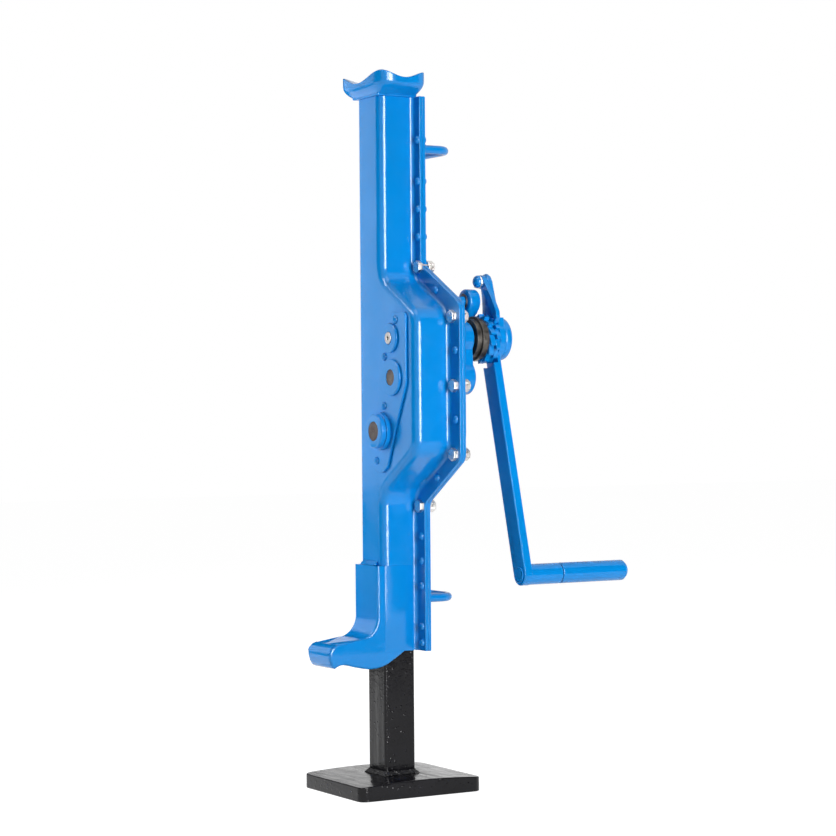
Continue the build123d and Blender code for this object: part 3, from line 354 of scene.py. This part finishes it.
def lumpy(node, finish, depth, lumps_per_metre):
    """A weld bead: the node's shape divided up, then pushed in and out by noise, mostly in."""
    rounds, longest, inset, finer = 2, 2.4 * MM, 0.6, 2.3
    shape = merged_copy(node)
    for _ in range(rounds):
        long_edges = [edge for edge in shape.edges if edge.calc_length() > longest]
        bmesh.ops.subdivide_edges(shape, edges=long_edges, cuts=1)
        bmesh.ops.triangulate(shape, faces=[f for f in shape.faces if len(f.verts) > 4])
    shape.normal_update()
    low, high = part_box(node)
    for vert in shape.verts:
        coarse = noise.noise(vert.co * lumps_per_metre)
        fine = noise.noise(vert.co * lumps_per_metre * finer)
        swell = coarse + 0.5 * fine
        moved = vert.co + vert.normal * depth * (swell - inset)
        vert.co = Vector(min(max(at, near), far) for at, near, far in zip(moved, low, high))
    return placed(shape, f"{node}_bead", node, finish, crease=SMOOTH)


def islands(node):
    """The lowest and highest corner, in millimetres, of each separate solid of a node."""
    shape = whole_faces(node)
    reached, found = set(), []
    for first in shape.verts:
        if first in reached:
            continue
        reached.add(first)
        corners, waiting = [], [first]
        while waiting:
            vert = waiting.pop()
            corners.append(vert.co / MM)
            others = {edge.other_vert(vert) for edge in vert.link_edges} - reached
            reached |= others
            waiting.extend(others)
        found.append([Vector(map(pick, zip(*corners))) for pick in (min, max)])
    shape.free()
    return found


# The shapes below are given in millimetres.
def block(shape, middle, sides, ease=0.0):
    """Adds a box with eased edges."""
    made = bmesh.ops.create_cube(shape, size=1.0)["verts"]
    bmesh.ops.scale(shape, vec=Vector(sides) * MM, verts=made)
    bmesh.ops.translate(shape, vec=Vector(middle) * MM, verts=made)
    if ease:
        edges = list(dict.fromkeys(edge for vert in made for edge in vert.link_edges))
        bmesh.ops.bevel(
            shape, geom=edges, offset=ease * MM, segments=2, profile=0.5,
            affect="EDGES", material=-1,
        )


def plate(shape, outline, front, back, ease=0.0, segments=3):
    """Adds a plate of that outline in X and Z, from front to back along Y."""
    face = shape.faces.new([shape.verts.new(Vector((x, front, z)) * MM) for x, z in outline])
    grown = bmesh.ops.extrude_face_region(shape, geom=[face])["geom"]
    moved = [each for each in grown if isinstance(each, bmesh.types.BMVert)]
    bmesh.ops.translate(shape, vec=(0.0, (back - front) * MM, 0.0), verts=moved)
    if ease:
        rims = [face, next(each for each in grown if isinstance(each, bmesh.types.BMFace))]
        edges = list(dict.fromkeys(edge for rim in rims for edge in rim.edges))
        bmesh.ops.bevel(
            shape, geom=edges, offset=ease * MM, segments=segments, profile=0.5,
            affect="EDGES", clamp_overlap=True, material=-1,
        )


def disc(shape, centre, front, back, radius, ease=0.0, sides=40, segments=3):
    """Adds a round disc on an axis along Y."""
    turns = [2.0 * math.pi * step / sides for step in range(sides)]
    outline = [(centre[0] + radius * math.cos(a), centre[1] + radius * math.sin(a)) for a in turns]
    plate(shape, outline, front, back, ease, segments)


def ball(shape, centre, radii, around=24, down=14):
    """Adds an ellipsoid."""
    made = bmesh.ops.create_uvsphere(
        shape, u_segments=around, v_segments=down, radius=1.0
    )["verts"]
    bmesh.ops.scale(shape, vec=Vector(radii) * MM, verts=made)
    bmesh.ops.translate(shape, vec=Vector(centre) * MM, verts=made)


def coil(shape, centre, radius, wire, start=0.0, turns=1, rise=0.0, steps=28):
    """Spins a round wire about an axis along Y: a closed ring, or a coil where it has a rise."""
    angle = math.radians(start)
    out, along = Vector((math.cos(angle), 0.0, math.sin(angle))), Vector((0.0, 1.0, 0.0))
    middle = Vector(centre) * MM
    turn = Matrix((out, along, out.cross(along))).transposed().to_4x4()
    place = Matrix.Translation(middle + out * radius * MM) @ turn
    profile = bmesh.ops.create_circle(shape, segments=12, radius=wire * MM, matrix=place)["verts"]
    edges = list(dict.fromkeys(edge for vert in profile for edge in vert.link_edges))
    bmesh.ops.spin(
        shape, geom=profile + edges, cent=middle, axis=along,
        dvec=along * rise * MM / (steps * turns), angle=2.0 * math.pi * turns,
        steps=steps * turns, use_merge=not rise,
    )
    bmesh.ops.holes_fill(shape, edges=[edge for edge in shape.edges if edge.is_boundary])


def rod(shape, start, end, radius):
    """Adds a straight round rod with a ball at its start."""
    first, last = Vector(start) * MM, Vector(end) * MM
    turn = (last - first).to_track_quat("Z", "Y").to_matrix().to_4x4()
    bmesh.ops.create_cone(
        shape, cap_ends=True, segments=12, radius1=radius * MM, radius2=radius * MM,
        depth=(last - first).length, matrix=Matrix.Translation((first + last) / 2.0) @ turn,
    )
    ball(shape, start, (radius, radius, radius))


def outward(shape):
    """Merges the doubles and turns every face outwards."""
    bmesh.ops.remove_doubles(shape, verts=shape.verts, dist=1e-6)
    bmesh.ops.recalc_face_normals(shape, faces=shape.faces)
    return shape


class JACK_OT_housing(bpy.types.Operator):
    """Dress the pressed housing shell and its rear cover"""

    bl_idname = "rack_jack.housing"
    bl_label = "Housing"
    bl_options = {"REGISTER", "UNDO"}

    def execute(self, context):
        ease = context.scene.rack_jack_sizes.edge_ease / MM
        dressed("front_shell", bevel=ease)
        dressed("back_cover", bevel=ease)
        dressed("rack_thrust_block")
        dressed("lower_rack_guide")
        return {"FINISHED"}


class JACK_OT_crown(bpy.types.Operator):
    """Make the four-horned crown head"""

    bl_idname = "rack_jack.crown"
    bl_label = "Crown head"
    bl_options = {"REGISTER", "UNDO"}

    def execute(self, context):
        sizes = context.scene.rack_jack_sizes
        low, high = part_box("crown_head")
        neck_x, neck_y, neck_middle = 27.4 * MM, 23.4 * MM, -3.0 * MM
        # Subdivision draws the horns in, so the cage stands a little wider and taller.
        half = (high - low) / 2.0
        top_x, top_y, tall = half.x * 1.15, half.y * 1.17, (high.z - low.z) * 1.012
        top_middle, bottom = (high.y + low.y) / 2.0, low.z - 0.4 * MM
        flared = 0.55  # of the height
        shape = bmesh.new()
        bmesh.ops.create_cube(shape, size=2.0)
        bmesh.ops.subdivide_edges(shape, edges=shape.edges, cuts=7, use_grid_fill=True)
        for vert in shape.verts:
            u, v, w = vert.co
            rise = (w + 1.0) / 2.0
            flare = math.sin(min(1.0, rise / flared) * math.pi / 2.0)
            half_x = neck_x + (top_x - neck_x) * flare
            half_y = neck_y + (top_y - neck_y) * flare
            middle = neck_middle + (top_middle - neck_middle) * flare
            rounded_x = 1.0 - 0.12 * abs(v) ** 4 * flare
            rounded_y = 1.0 - 0.14 * abs(u) ** 4 * flare
            front, side = self.valley(sizes.front_valley, u), self.valley(sizes.side_valley, v)
            dish = (front ** 3 + side ** 3) ** (1.0 / 3.0)
            vert.co = Vector((
                u * half_x * rounded_x,
                middle + v * half_y * rounded_y,
                bottom + tall * rise - dish * rise ** 2.2,
            ))
        self.neck_bead(shape, neck_middle / MM, low.z / MM)
        piece = placed(shape, "crown_head_cast", "crown_head", crease=SMOOTH)
        rounding = piece.modifiers.new("Cast rounding", "SUBSURF")
        rounding.levels = rounding.render_levels = 2
        return {"FINISHED"}

    def valley(self, depth, across):
        """How far the top dips, from the valley's depth in the middle to none at the edge."""
        return depth * math.cos(min(1.0, abs(across) * 1.02) * math.pi / 2.0) ** 1.5

    def neck_bead(self, shape, middle, bottom):
        """Adds the uneven weld bead round the head's neck, in millimetres."""
        rounds, longest, most_swell, lumps_per_metre = 4, 4.0, 0.03, 170.0
        bead = bmesh.new()
        block(bead, middle=(0.0, middle, bottom + 2.1), sides=(61.0, 52.5, 4.8))
        for _ in range(rounds):
            long_edges = [edge for edge in bead.edges if edge.calc_length() > longest * MM]
            bmesh.ops.subdivide_edges(bead, edges=long_edges, cuts=1, use_grid_fill=True)
        for vert in bead.verts:
            swell = noise.noise(vert.co * lumps_per_metre) * most_swell
            vert.co.x *= 1.0 + swell
            vert.co.y += (vert.co.y - middle * MM) * swell
        mesh = mesh_of(bead, "neck_bead")
        shape.from_mesh(mesh)
        bpy.data.meshes.remove(mesh)


class JACK_OT_claw(bpy.types.Operator):
    """Make the toe claw and the weld that holds it"""

    bl_idname = "rack_jack.claw"
    bl_label = "Toe claw"
    bl_options = {"REGISTER", "UNDO"}

    def execute(self, context):
        shape = whole_faces("toe_claw")
        bmesh.ops.bevel(
            shape, geom=self.outer_rims(shape), offset=context.scene.rack_jack_sizes.claw_round,
            offset_type="OFFSET", segments=5, profile=0.5, affect="EDGES", clamp_overlap=False,
            material=-1, miter_outer="ARC",
        )
        for side in (-1, 1):
            block(shape, middle=(side * 26.6, -5.0, 212.5), sides=(1.5, 36.0, 99.0), ease=0.3)
        placed(shape, "toe_claw_cast", "toe_claw", crease=40.0)
        lumpy("claw_weld", "blue_weld", depth=1.2 * MM, lumps_per_metre=260.0)
        return {"FINISHED"}

    def outer_rims(self, shape):
        """The rims of the claw's two sides, but not those of the part that wraps the housing."""
        half_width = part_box("toe_claw")[1].x
        wrap_front, wrap_bottom = -26.8 * MM, 162.5 * MM
        rims = []
        for edge in shape.edges:
            if len(edge.link_faces) != 2:
                continue
            sideways = [abs(face.normal.x) > 0.99 for face in edge.link_faces]
            outer = all(abs(abs(vert.co.x) - half_width) < 0.01 * MM for vert in edge.verts)
            free = all(vert.co.y < wrap_front or vert.co.z < wrap_bottom for vert in edge.verts)
            if sideways[0] != sideways[1] and outer and free:
                rims.append(edge)
        return rims


class JACK_OT_rack(bpy.types.Operator):
    """Dress the rack, the foot plate and the weld between them"""

    bl_idname = "rack_jack.rack"
    bl_label = "Rack and foot"
    bl_options = {"REGISTER", "UNDO"}

    def execute(self, context):
        dressed("rack_bar", bevel=0.9)
        dressed("foot_plate", bevel=1.2, finish="foot_black", segments=3)
        lumpy("foot_weld", "black_weld", depth=1.2 * MM, lumps_per_metre=240.0)
        return {"FINISHED"}


class JACK_OT_handles(bpy.types.Operator):
    """Dress the two carrying handles and make the welds at their ends"""

    bl_idname = "rack_jack.handles"
    bl_label = "Carrying handles"
    bl_options = {"REGISTER", "UNDO"}

    def execute(self, context):
        for node in ("upper_carrying_handle", "lower_carrying_handle"):
            dressed(node, bevel=0.0)
            self.root_welds(node)
        return {"FINISHED"}

    def root_welds(self, node):
        """The weld bead round each end of the handle's bar."""
        low, high = box_in_mm(node)
        bar = (high.z - low.z) / 2.0
        lump, lumps_per_metre = 0.9, 420.0
        shape = bmesh.new()
        for x in (low.x + bar, high.x - bar):
            coil(shape, (x, low.y + 0.9, low.z + bar), radius=bar + 0.7, wire=1.9)
        outward(shape)
        shape.normal_update()
        for vert in shape.verts:
            vert.co += vert.normal * lump * MM * noise.noise(vert.co * lumps_per_metre)
        name = f"{node}_root_welds"
        finished(shape, name, body_of(node), SLOTS[node], "blue_weld", crease=SMOOTH)


class JACK_OT_bearings(bpy.types.Operator):
    """Dress the front bearing plate, the rear block, the bushes and the shafts"""

    bl_idname = "rack_jack.bearings"
    bl_label = "Bearings and shafts"
    bl_options = {"REGISTER", "UNDO"}

    def execute(self, context):
        ease = context.scene.rack_jack_sizes.edge_ease / MM
        dressed("front_bearing_plate", bevel=ease)
        dressed("rear_bearing_block", bevel=ease)
        for node in (
            "drive_shaft_front_bush",
            "drive_shaft_rear_bush",
            "second_shaft_front_bush",
            "second_shaft_rear_bush",
            "pinion_shaft_front_bush",
            "pinion_shaft_rear_bearing",
            "drive_shaft",
            "second_shaft",
            "rack_pinion_shaft",
            "drive_shaft_end_screw",
        ):
            dressed(node, bevel=0.4)
        return {"FINISHED"}


class JACK_OT_gears(bpy.types.Operator):
    """Dress the gears and keys inside the housing"""

    bl_idname = "rack_jack.gears"
    bl_label = "Gears"
    bl_options = {"REGISTER", "UNDO"}

    def execute(self, context):
        for node in ("second_gear", "second_gear_key", "final_gear", "final_gear_key"):
            dressed(node, bevel=0.25)
        return {"FINISHED"}


HOLDING_PAWL_HUB = (39.0, 567.0)
HOLDING_PAWL_ARM = (
    (52.6, 562.5), (47.5, 553.0), (42.6, 546.8), (36.4, 541.6), (31.8, 536.0), (28.0, 529.6),
    (24.2, 528.0), (20.4, 530.0), (19.4, 536.0), (20.2, 546.0), (22.4, 556.0), (25.2, 564.0),
    (32.0, 572.0), (44.0, 573.0),
)
HOLDING_PAWL_NOSE = (
    (51.5, 560.0), (46.5, 553.2), (42.4, 550.4), (37.9, 547.8), (33.9, 544.5), (30.6, 540.5),
    (28.0, 535.8), (26.0, 531.0), (22.5, 529.2), (19.8, 532.0), (19.6, 540.0), (21.2, 552.0),
    (25.4, 563.0), (38.0, 573.0),
)


class JACK_OT_ratchets(bpy.types.Operator):
    """Dress the load brake's discs, the two ratchet wheels and their pawls"""

    bl_idname = "rack_jack.ratchets"
    bl_label = "Ratchets and pawls"
    bl_options = {"REGISTER", "UNDO"}

    def execute(self, context):
        for node in (
            "brake_flange", "front_friction_disc", "rear_friction_disc", "ratchet_spacer"
        ):
            dressed(node, bevel=0.3)
        for node in ("holding_ratchet", "drive_ratchet"):
            dressed(node, bevel=0.3, finish="blue_enamel")
        dressed("holding_pawl_pin", bevel=0.5)
        dressed("holding_pawl_clips", bevel=0.2)
        self.holding_pawl()
        self.drive_pawl()
        return {"FINISHED"}

    def holding_pawl(self):
        """A broad cast lever: a hub with rounded rims, an arm, and a nose farther back."""
        shape = bmesh.new()
        disc(shape, HOLDING_PAWL_HUB, front=79.0, back=94.0, radius=14.5, ease=2.6, segments=4)
        plate(shape, HOLDING_PAWL_ARM, front=80.5, back=88.6, ease=1.8)
        plate(shape, HOLDING_PAWL_NOSE, front=84.0, back=93.4, ease=1.8)
        placed(outward(shape), "holding_pawl_cast", "holding_pawl", crease=35.0)

    def drive_pawl(self):
        """The hook that hangs from the ball stud on the horn."""
        dressed("drive_pawl", bevel=1.2, segments=3, clamp=True)
        low, high = box_in_mm("drive_pawl_stud")
        x, z = (low.x + high.x) / 2.0, (low.z + high.z) / 2.0
        shape = bmesh.new()
        disc(shape, (x, z), front=97.0, back=high.y, radius=3.9, ease=0.5, sides=28)
        ball(shape, (x - 0.6, 95.0, z + 0.4), (7.4, 5.6, 7.4))
        placed(outward(shape), "drive_pawl_stud_ball", "drive_pawl_stud", crease=35.0)
        self.pawl_spring(x, z)

    def pawl_spring(self, x, z):
        """A bright wire coil on the ball stud, with one leg hooked round the horn's edge."""
        shape = bmesh.new()
        wire = 0.8
        coil(shape, (x, 95.1, z), radius=6.6, wire=wire, start=-90.0, turns=2, rise=1.7)
        leg = [
            (x, 96.8, z - 6.6), (x - 6.0, 97.0, z - 6.4), (x - 12.6, 98.0, z - 5.0),
            (x - 13.0, 102.0, z - 4.2), (x - 12.6, 108.0, z - 4.0),
        ]
        for start, end in zip(leg, leg[1:]):
            rod(shape, start, end, wire)
        body = body_of("drive_pawl_stud")
        finished(outward(shape), "drive_pawl_spring", body, "zinc", "zinc", crease=SMOOTH)


HORN = (
    (70.0, 541.0), (67.0, 551.0), (63.4, 562.0), (59.8, 573.0), (56.8, 582.0), (54.2, 590.6),
    (50.4, 596.6), (44.8, 599.6), (39.0, 598.2), (35.2, 593.4), (34.6, 587.4), (36.6, 580.0),
    (38.4, 570.0), (39.2, 560.0), (39.4, 550.0), (40.0, 541.0),
)
HORN_CUT = 547.5 * MM  # the forged horn takes over from the CAD arm above this height


class JACK_OT_crank(bpy.types.Operator):
    """Dress the crank arm, its hub cap and the turning grip"""

    bl_idname = "rack_jack.crank"
    bl_label = "Crank and grip"
    bl_options = {"REGISTER", "UNDO"}

    def execute(self, context):
        self.arm()
        self.cap()
        dressed("handle_spindle", bevel=0.6)
        dressed("handle_collar", bevel=0.8)
        dressed("grip_sleeve", bevel=1.0)
        dressed("grip_end_washer", bevel=0.4)
        return {"FINISHED"}

    def arm(self):
        """The stepped bar, and a curved cast horn that grows out of its eye."""
        shape = whole_faces("crank_arm")
        cut = bmesh.ops.bisect_plane(
            shape, geom=shape.verts[:] + shape.edges[:] + shape.faces[:], dist=1e-6,
            plane_co=(0.0, 0.0, HORN_CUT), plane_no=(0.0, 0.0, 1.0), clear_outer=True,
        )["geom_cut"]
        rim = [each for each in cut if isinstance(each, bmesh.types.BMEdge)]
        bmesh.ops.holes_fill(shape, edges=rim)
        plate(shape, HORN, front=103.0, back=110.5, ease=3.0, segments=4)
        placed(
            shape, "crank_arm_forged", "crank_arm", bevel=1.1, segments=3, crease=38.0, clamp=True
        )

    def cap(self):
        """The round cap over the eye, with cushioned rims."""
        low, high = box_in_mm("crank_cap")
        middle = ((low.x + high.x) / 2.0, (low.z + high.z) / 2.0)
        radius = (high.x - low.x) / 2.0
        shape = bmesh.new()
        disc(shape, middle, low.y, high.y, radius, ease=3.2, sides=72, segments=5)
        placed(outward(shape), "crank_cap_turned", "crank_cap", crease=35.0)


class JACK_OT_fasteners(bpy.types.Operator):
    """Dress the bolts, washers, nuts and rivets"""

    bl_idname = "rack_jack.fasteners"
    bl_label = "Fasteners"
    bl_options = {"REGISTER", "UNDO"}

    def execute(self, context):
        for node in ("cover_bolts", "cover_washers", "cover_nuts"):
            dressed(node, bevel=0.4)
        self.rivets("flange_rivets", front=19.5, back=27.5, radius=4.7, rise=3.4)
        self.rivets("bearing_plate_rivets", front=-29.0, back=-24.0, radius=4.7, rise=3.3)
        return {"FINISHED"}

    def rivets(self, node, front, back, radius, rise):
        """Round heads in front of and behind the plates that each rivet holds."""
        flattest = 0.5
        shape = bmesh.new()
        for low, high in islands(node):
            x, z = (low.x + high.x) / 2.0, (low.z + high.z) / 2.0
            for face, reach in ((front, rise), (back, min(rise, abs(high.y - back)))):
                if reach >= flattest:
                    ball(shape, (x, face, z), (radius, reach, radius), around=20, down=12)
        placed(outward(shape), f"{node}_domed", node, crease=60.0)


# ---------------------------------------------------------------- stage
MIDDLE = (0.0, 0.0, 0.42)  # what the lamps face


def around(azimuth, distance, height):
    """A point that far from the rack's axis; azimuth 0 is toward -Y and 90 toward +X."""
    angle = math.radians(azimuth)
    return Vector((math.sin(angle) * distance, -math.cos(angle) * distance, height))


def card(name, at, size):
    """A black studio card that only reflections see; it faces the rack's axis."""
    place = around(*at)
    shape = bmesh.new()
    bmesh.ops.create_grid(shape, x_segments=1, y_segments=1, size=0.5)
    bmesh.ops.scale(shape, vec=(*size, 1.0), verts=shape.verts)
    facing = (Vector((0.0, 0.0, place.z)) - place).to_track_quat("-Z", "Y").to_matrix()
    bmesh.ops.transform(
        shape, matrix=Matrix.Translation(place) @ facing.to_4x4(), verts=shape.verts
    )
    board = added(name, mesh_of(shape, name))
    board.visible_camera = board.visible_diffuse = board.visible_shadow = False
    board.visible_transmission = False
    black = bpy.data.materials.get("card_black") or bpy.data.materials.new("card_black")
    black.use_nodes = True
    sockets = black.node_tree.nodes["Principled BSDF"].inputs
    sockets["Base Color"].default_value = (0.01, 0.01, 0.01, 1.0)
    sockets["Specular IOR Level"].default_value = 0.0
    board.data.materials.append(black)


def lamp(name, at, size, radiance, mirrored=True, lights=True):
    """A soft box that faces the jack's middle; radiance is what its own surface shows."""
    data = bpy.data.lights.new(name, "AREA")
    data.shape = "RECTANGLE"
    data.size, data.size_y = size
    data.energy = radiance * math.pi * size[0] * size[1]
    box = added(name, data)
    box.location = around(*at)
    box.rotation_euler = (Vector(MIDDLE) - box.location).to_track_quat("-Z", "Y").to_euler()
    box.visible_glossy, box.visible_diffuse, box.visible_camera = mirrored, lights, False


def camera_at_the_photographs_place():
    """The three-quarter view from the claw's side, level with the middle of the housing."""
    azimuth, pitch, roll = math.radians(59.65), math.radians(0.17), math.radians(-0.47)
    aside, away, height = 0.0334, 2.8, 0.440
    ahead = Vector((-math.sin(azimuth), math.cos(azimuth), 0.0))
    right = Vector((math.cos(azimuth), math.sin(azimuth), 0.0))
    up = Vector((0.0, 0.0, 1.0))
    look = ahead * math.cos(pitch) - up * math.sin(pitch)
    top = up * math.cos(pitch) + ahead * math.sin(pitch)
    across = right * math.cos(roll) + top * math.sin(roll)
    top = top * math.cos(roll) - right * math.sin(roll)
    data = bpy.data.cameras.new("camera")
    data.lens, data.sensor_width = 103.6, 36.0
    data.clip_start, data.clip_end = 0.1, 60.0
    camera = added("camera", data)
    turn = Matrix((across, top, -look)).transposed().to_4x4()
    place = right * aside - ahead * away + up * height
    camera.matrix_world = Matrix.Translation(place) @ turn
    bpy.context.scene.camera = camera


def seen_by(tree, *rays):
    """A socket that is one where any of these kinds of ray looks, and zero elsewhere."""
    path = tree.nodes.new("ShaderNodeLightPath")
    seen = path.outputs[rays[0]]
    for ray in rays[1:]:
        either = tree.nodes.new("ShaderNodeMath")
        either.operation = "MAXIMUM"
        tree.links.new(seen, either.inputs[0])
        tree.links.new(path.outputs[ray], either.inputs[1])
        seen = either.outputs[0]
    return seen


def white_world(level):
    """White to the camera and to reflections, and an even dim light on the object."""
    world = bpy.data.worlds.new("studio")
    world.use_nodes = True
    tree = world.node_tree
    background = tree.nodes["Background"]
    background.inputs["Color"].default_value = WHITE
    seen = seen_by(tree, "Is Camera Ray", "Is Glossy Ray", "Is Transmission Ray")
    strength = tree.nodes.new("ShaderNodeMapRange")
    strength.inputs["To Min"].default_value = level
    strength.inputs["To Max"].default_value = 1.0
    tree.links.new(seen, strength.inputs["Value"])
    tree.links.new(strength.outputs["Result"], background.inputs["Strength"])
    bpy.context.scene.world = world


def floor():
    """A white floor that keeps a soft shadow: part matt, and part glow where it is looked at."""
    half_width, whiteness, glow_strength, glow_share = 9.0, 0.8, 1.5, 0.65
    shape = bmesh.new()
    bmesh.ops.create_grid(shape, x_segments=1, y_segments=1, size=half_width)
    ground = added("floor", mesh_of(shape, "floor"))
    material = bpy.data.materials.new("floor_white")
    material.use_nodes = True
    tree = material.node_tree
    tree.nodes.clear()
    output = tree.nodes.new("ShaderNodeOutputMaterial")
    matt = tree.nodes.new("ShaderNodeBsdfDiffuse")
    matt.inputs["Color"].default_value = (whiteness, whiteness, whiteness, 1.0)
    glow = tree.nodes.new("ShaderNodeEmission")
    glow.inputs["Strength"].default_value = glow_strength
    share = tree.nodes.new("ShaderNodeMath")
    share.operation = "MULTIPLY"
    share.inputs[1].default_value = glow_share
    tree.links.new(seen_by(tree, "Is Camera Ray", "Is Glossy Ray"), share.inputs[0])
    mix = tree.nodes.new("ShaderNodeMixShader")
    for source, target in zip((share, matt, glow), mix.inputs):
        tree.links.new(source.outputs[0], target)
    tree.links.new(mix.outputs[0], output.inputs["Surface"])
    ground.data.materials.append(material)


class JACK_OT_stage(bpy.types.Operator):
    """Set up the camera, the pale floor and the soft studio light"""

    bl_idname = "rack_jack.stage"
    bl_label = "Stage"
    bl_options = {"REGISTER", "UNDO"}

    def execute(self, context):
        context.scene.view_settings.view_transform = "Standard"
        camera_at_the_photographs_place()
        white_world(context.scene.rack_jack_looks.even_light)
        floor()
        self.lamps()
        self.cards()
        return {"FINISHED"}

    def lamps(self):
        """The soft boxes; each stands at (azimuth, distance, height)."""
        lamp("side_strip", at=(92.0, 1.8, 0.5), size=(0.4, 1.7), radiance=18.0)
        lamp("web_panel", at=(-50.0, 2.0, 0.6), size=(1.2, 1.7), radiance=8.6, mirrored=False)
        lamp("left_strip", at=(-80.0, 1.9, 0.9), size=(0.5, 1.2), radiance=7.0, mirrored=False)
        lamp("edge_glint", at=(83.0, 2.1, 0.75), size=(0.8, 1.4), radiance=16.0, lights=False)
        lamp("front_top", at=(-10.0, 1.2, 2.1), size=(1.2, 0.4), radiance=12.0, lights=False)
        lamp("top_panel", at=(70.0, 0.5, 2.3), size=(1.0, 1.0), radiance=2.4)

    def cards(self):
        """The black cards; each stands at (azimuth, distance, height)."""
        card("side_card", at=(127.0, 2.0, 0.9), size=(1.4, 2.6))
        card("front_card", at=(-8.0, 2.6, 0.9), size=(2.6, 2.6))
        card("left_card", at=(-98.0, 2.2, 0.9), size=(1.1, 2.6))
        card("low_card", at=(-60.0, 1.4, 0.15), size=(1.0, 0.3))


# ---------------------------------------------------------------- add-on
def length(name, description, default):
    """A length in metres."""
    return bpy.props.FloatProperty(
        name=name, description=description, default=default, min=0.0, unit="LENGTH", precision=4
    )


def swatch(name, description, default):
    """A colour."""
    return bpy.props.FloatVectorProperty(
        name=name, description=description, default=default, subtype="COLOR", min=0.0, max=1.0
    )


class JackSizes(bpy.types.PropertyGroup):
    """Sizes that a user of the jack would change."""

    edge_ease: length("Edge ease", "Rounding of the pressed edges", 0.0008)
    claw_round: length("Claw rounding", "Radius of the claw's cast edges", 0.0035)
    front_valley: length("Front valley", "Depth of the crown's valley over the claw", 0.0135)
    side_valley: length("Side valley", "Depth of the crown's valley over the crank", 0.0095)


class JackLooks(bpy.types.PropertyGroup):
    """Colours of the finishes, and the light from all round."""

    enamel_blue: swatch("Blue enamel", "The housing's enamel", (0.001, 0.235, 0.66))
    enamel_black: swatch("Black enamel", "The rack and the foot", (0.0028, 0.0026, 0.004))
    zinc: swatch("Zinc", "Plated bolts and nuts", (0.66, 0.65, 0.62))
    steel: swatch("Steel", "Shafts and gears", (0.5, 0.47, 0.43))
    bronze: swatch("Bronze", "Rear bushes", (0.55, 0.36, 0.16))
    even_light: bpy.props.FloatProperty(
        name="Even light", description="Strength of the light from all round", default=0.06,
        min=0.0, max=1.0, subtype="FACTOR",
    )


PIECES = (
    JACK_OT_housing,
    JACK_OT_crown,
    JACK_OT_claw,
    JACK_OT_rack,
    JACK_OT_handles,
    JACK_OT_bearings,
    JACK_OT_gears,
    JACK_OT_ratchets,
    JACK_OT_crank,
    JACK_OT_fasteners,
)


class JACK_PT_panel(bpy.types.Panel):
    """Lists the jack's sizes, colours and pieces"""

    bl_idname = "JACK_PT_panel"
    bl_label = "Rack jack"
    bl_space_type = "VIEW_3D"
    bl_region_type = "UI"
    bl_category = "Rack jack"

    def draw(self, context):
        for settings in (context.scene.rack_jack_sizes, context.scene.rack_jack_looks):
            for name in settings.__annotations__:
                self.layout.prop(settings, name)
        for operator in (JACK_OT_stage, *PIECES):
            self.layout.operator(operator.bl_idname)


CLASSES = (JackSizes, JackLooks, JACK_OT_stage, *PIECES, JACK_PT_panel)


def register():
    for each in CLASSES:
        bpy.utils.register_class(each)
    bpy.types.Scene.rack_jack_sizes = bpy.props.PointerProperty(type=JackSizes)
    bpy.types.Scene.rack_jack_looks = bpy.props.PointerProperty(type=JackLooks)


def unregister():
    del bpy.types.Scene.rack_jack_looks
    del bpy.types.Scene.rack_jack_sizes
    for each in reversed(CLASSES):
        bpy.utils.unregister_class(each)


def main():
    register()
    bpy.ops.rack_jack.stage()
    bpy.ops.rack_jack.housing()
    bpy.ops.rack_jack.crown()
    bpy.ops.rack_jack.claw()
    bpy.ops.rack_jack.rack()
    bpy.ops.rack_jack.handles()
    bpy.ops.rack_jack.bearings()
    bpy.ops.rack_jack.gears()
    bpy.ops.rack_jack.ratchets()
    bpy.ops.rack_jack.crank()
    bpy.ops.rack_jack.fasteners()


if __name__ == "__main__":
    main()
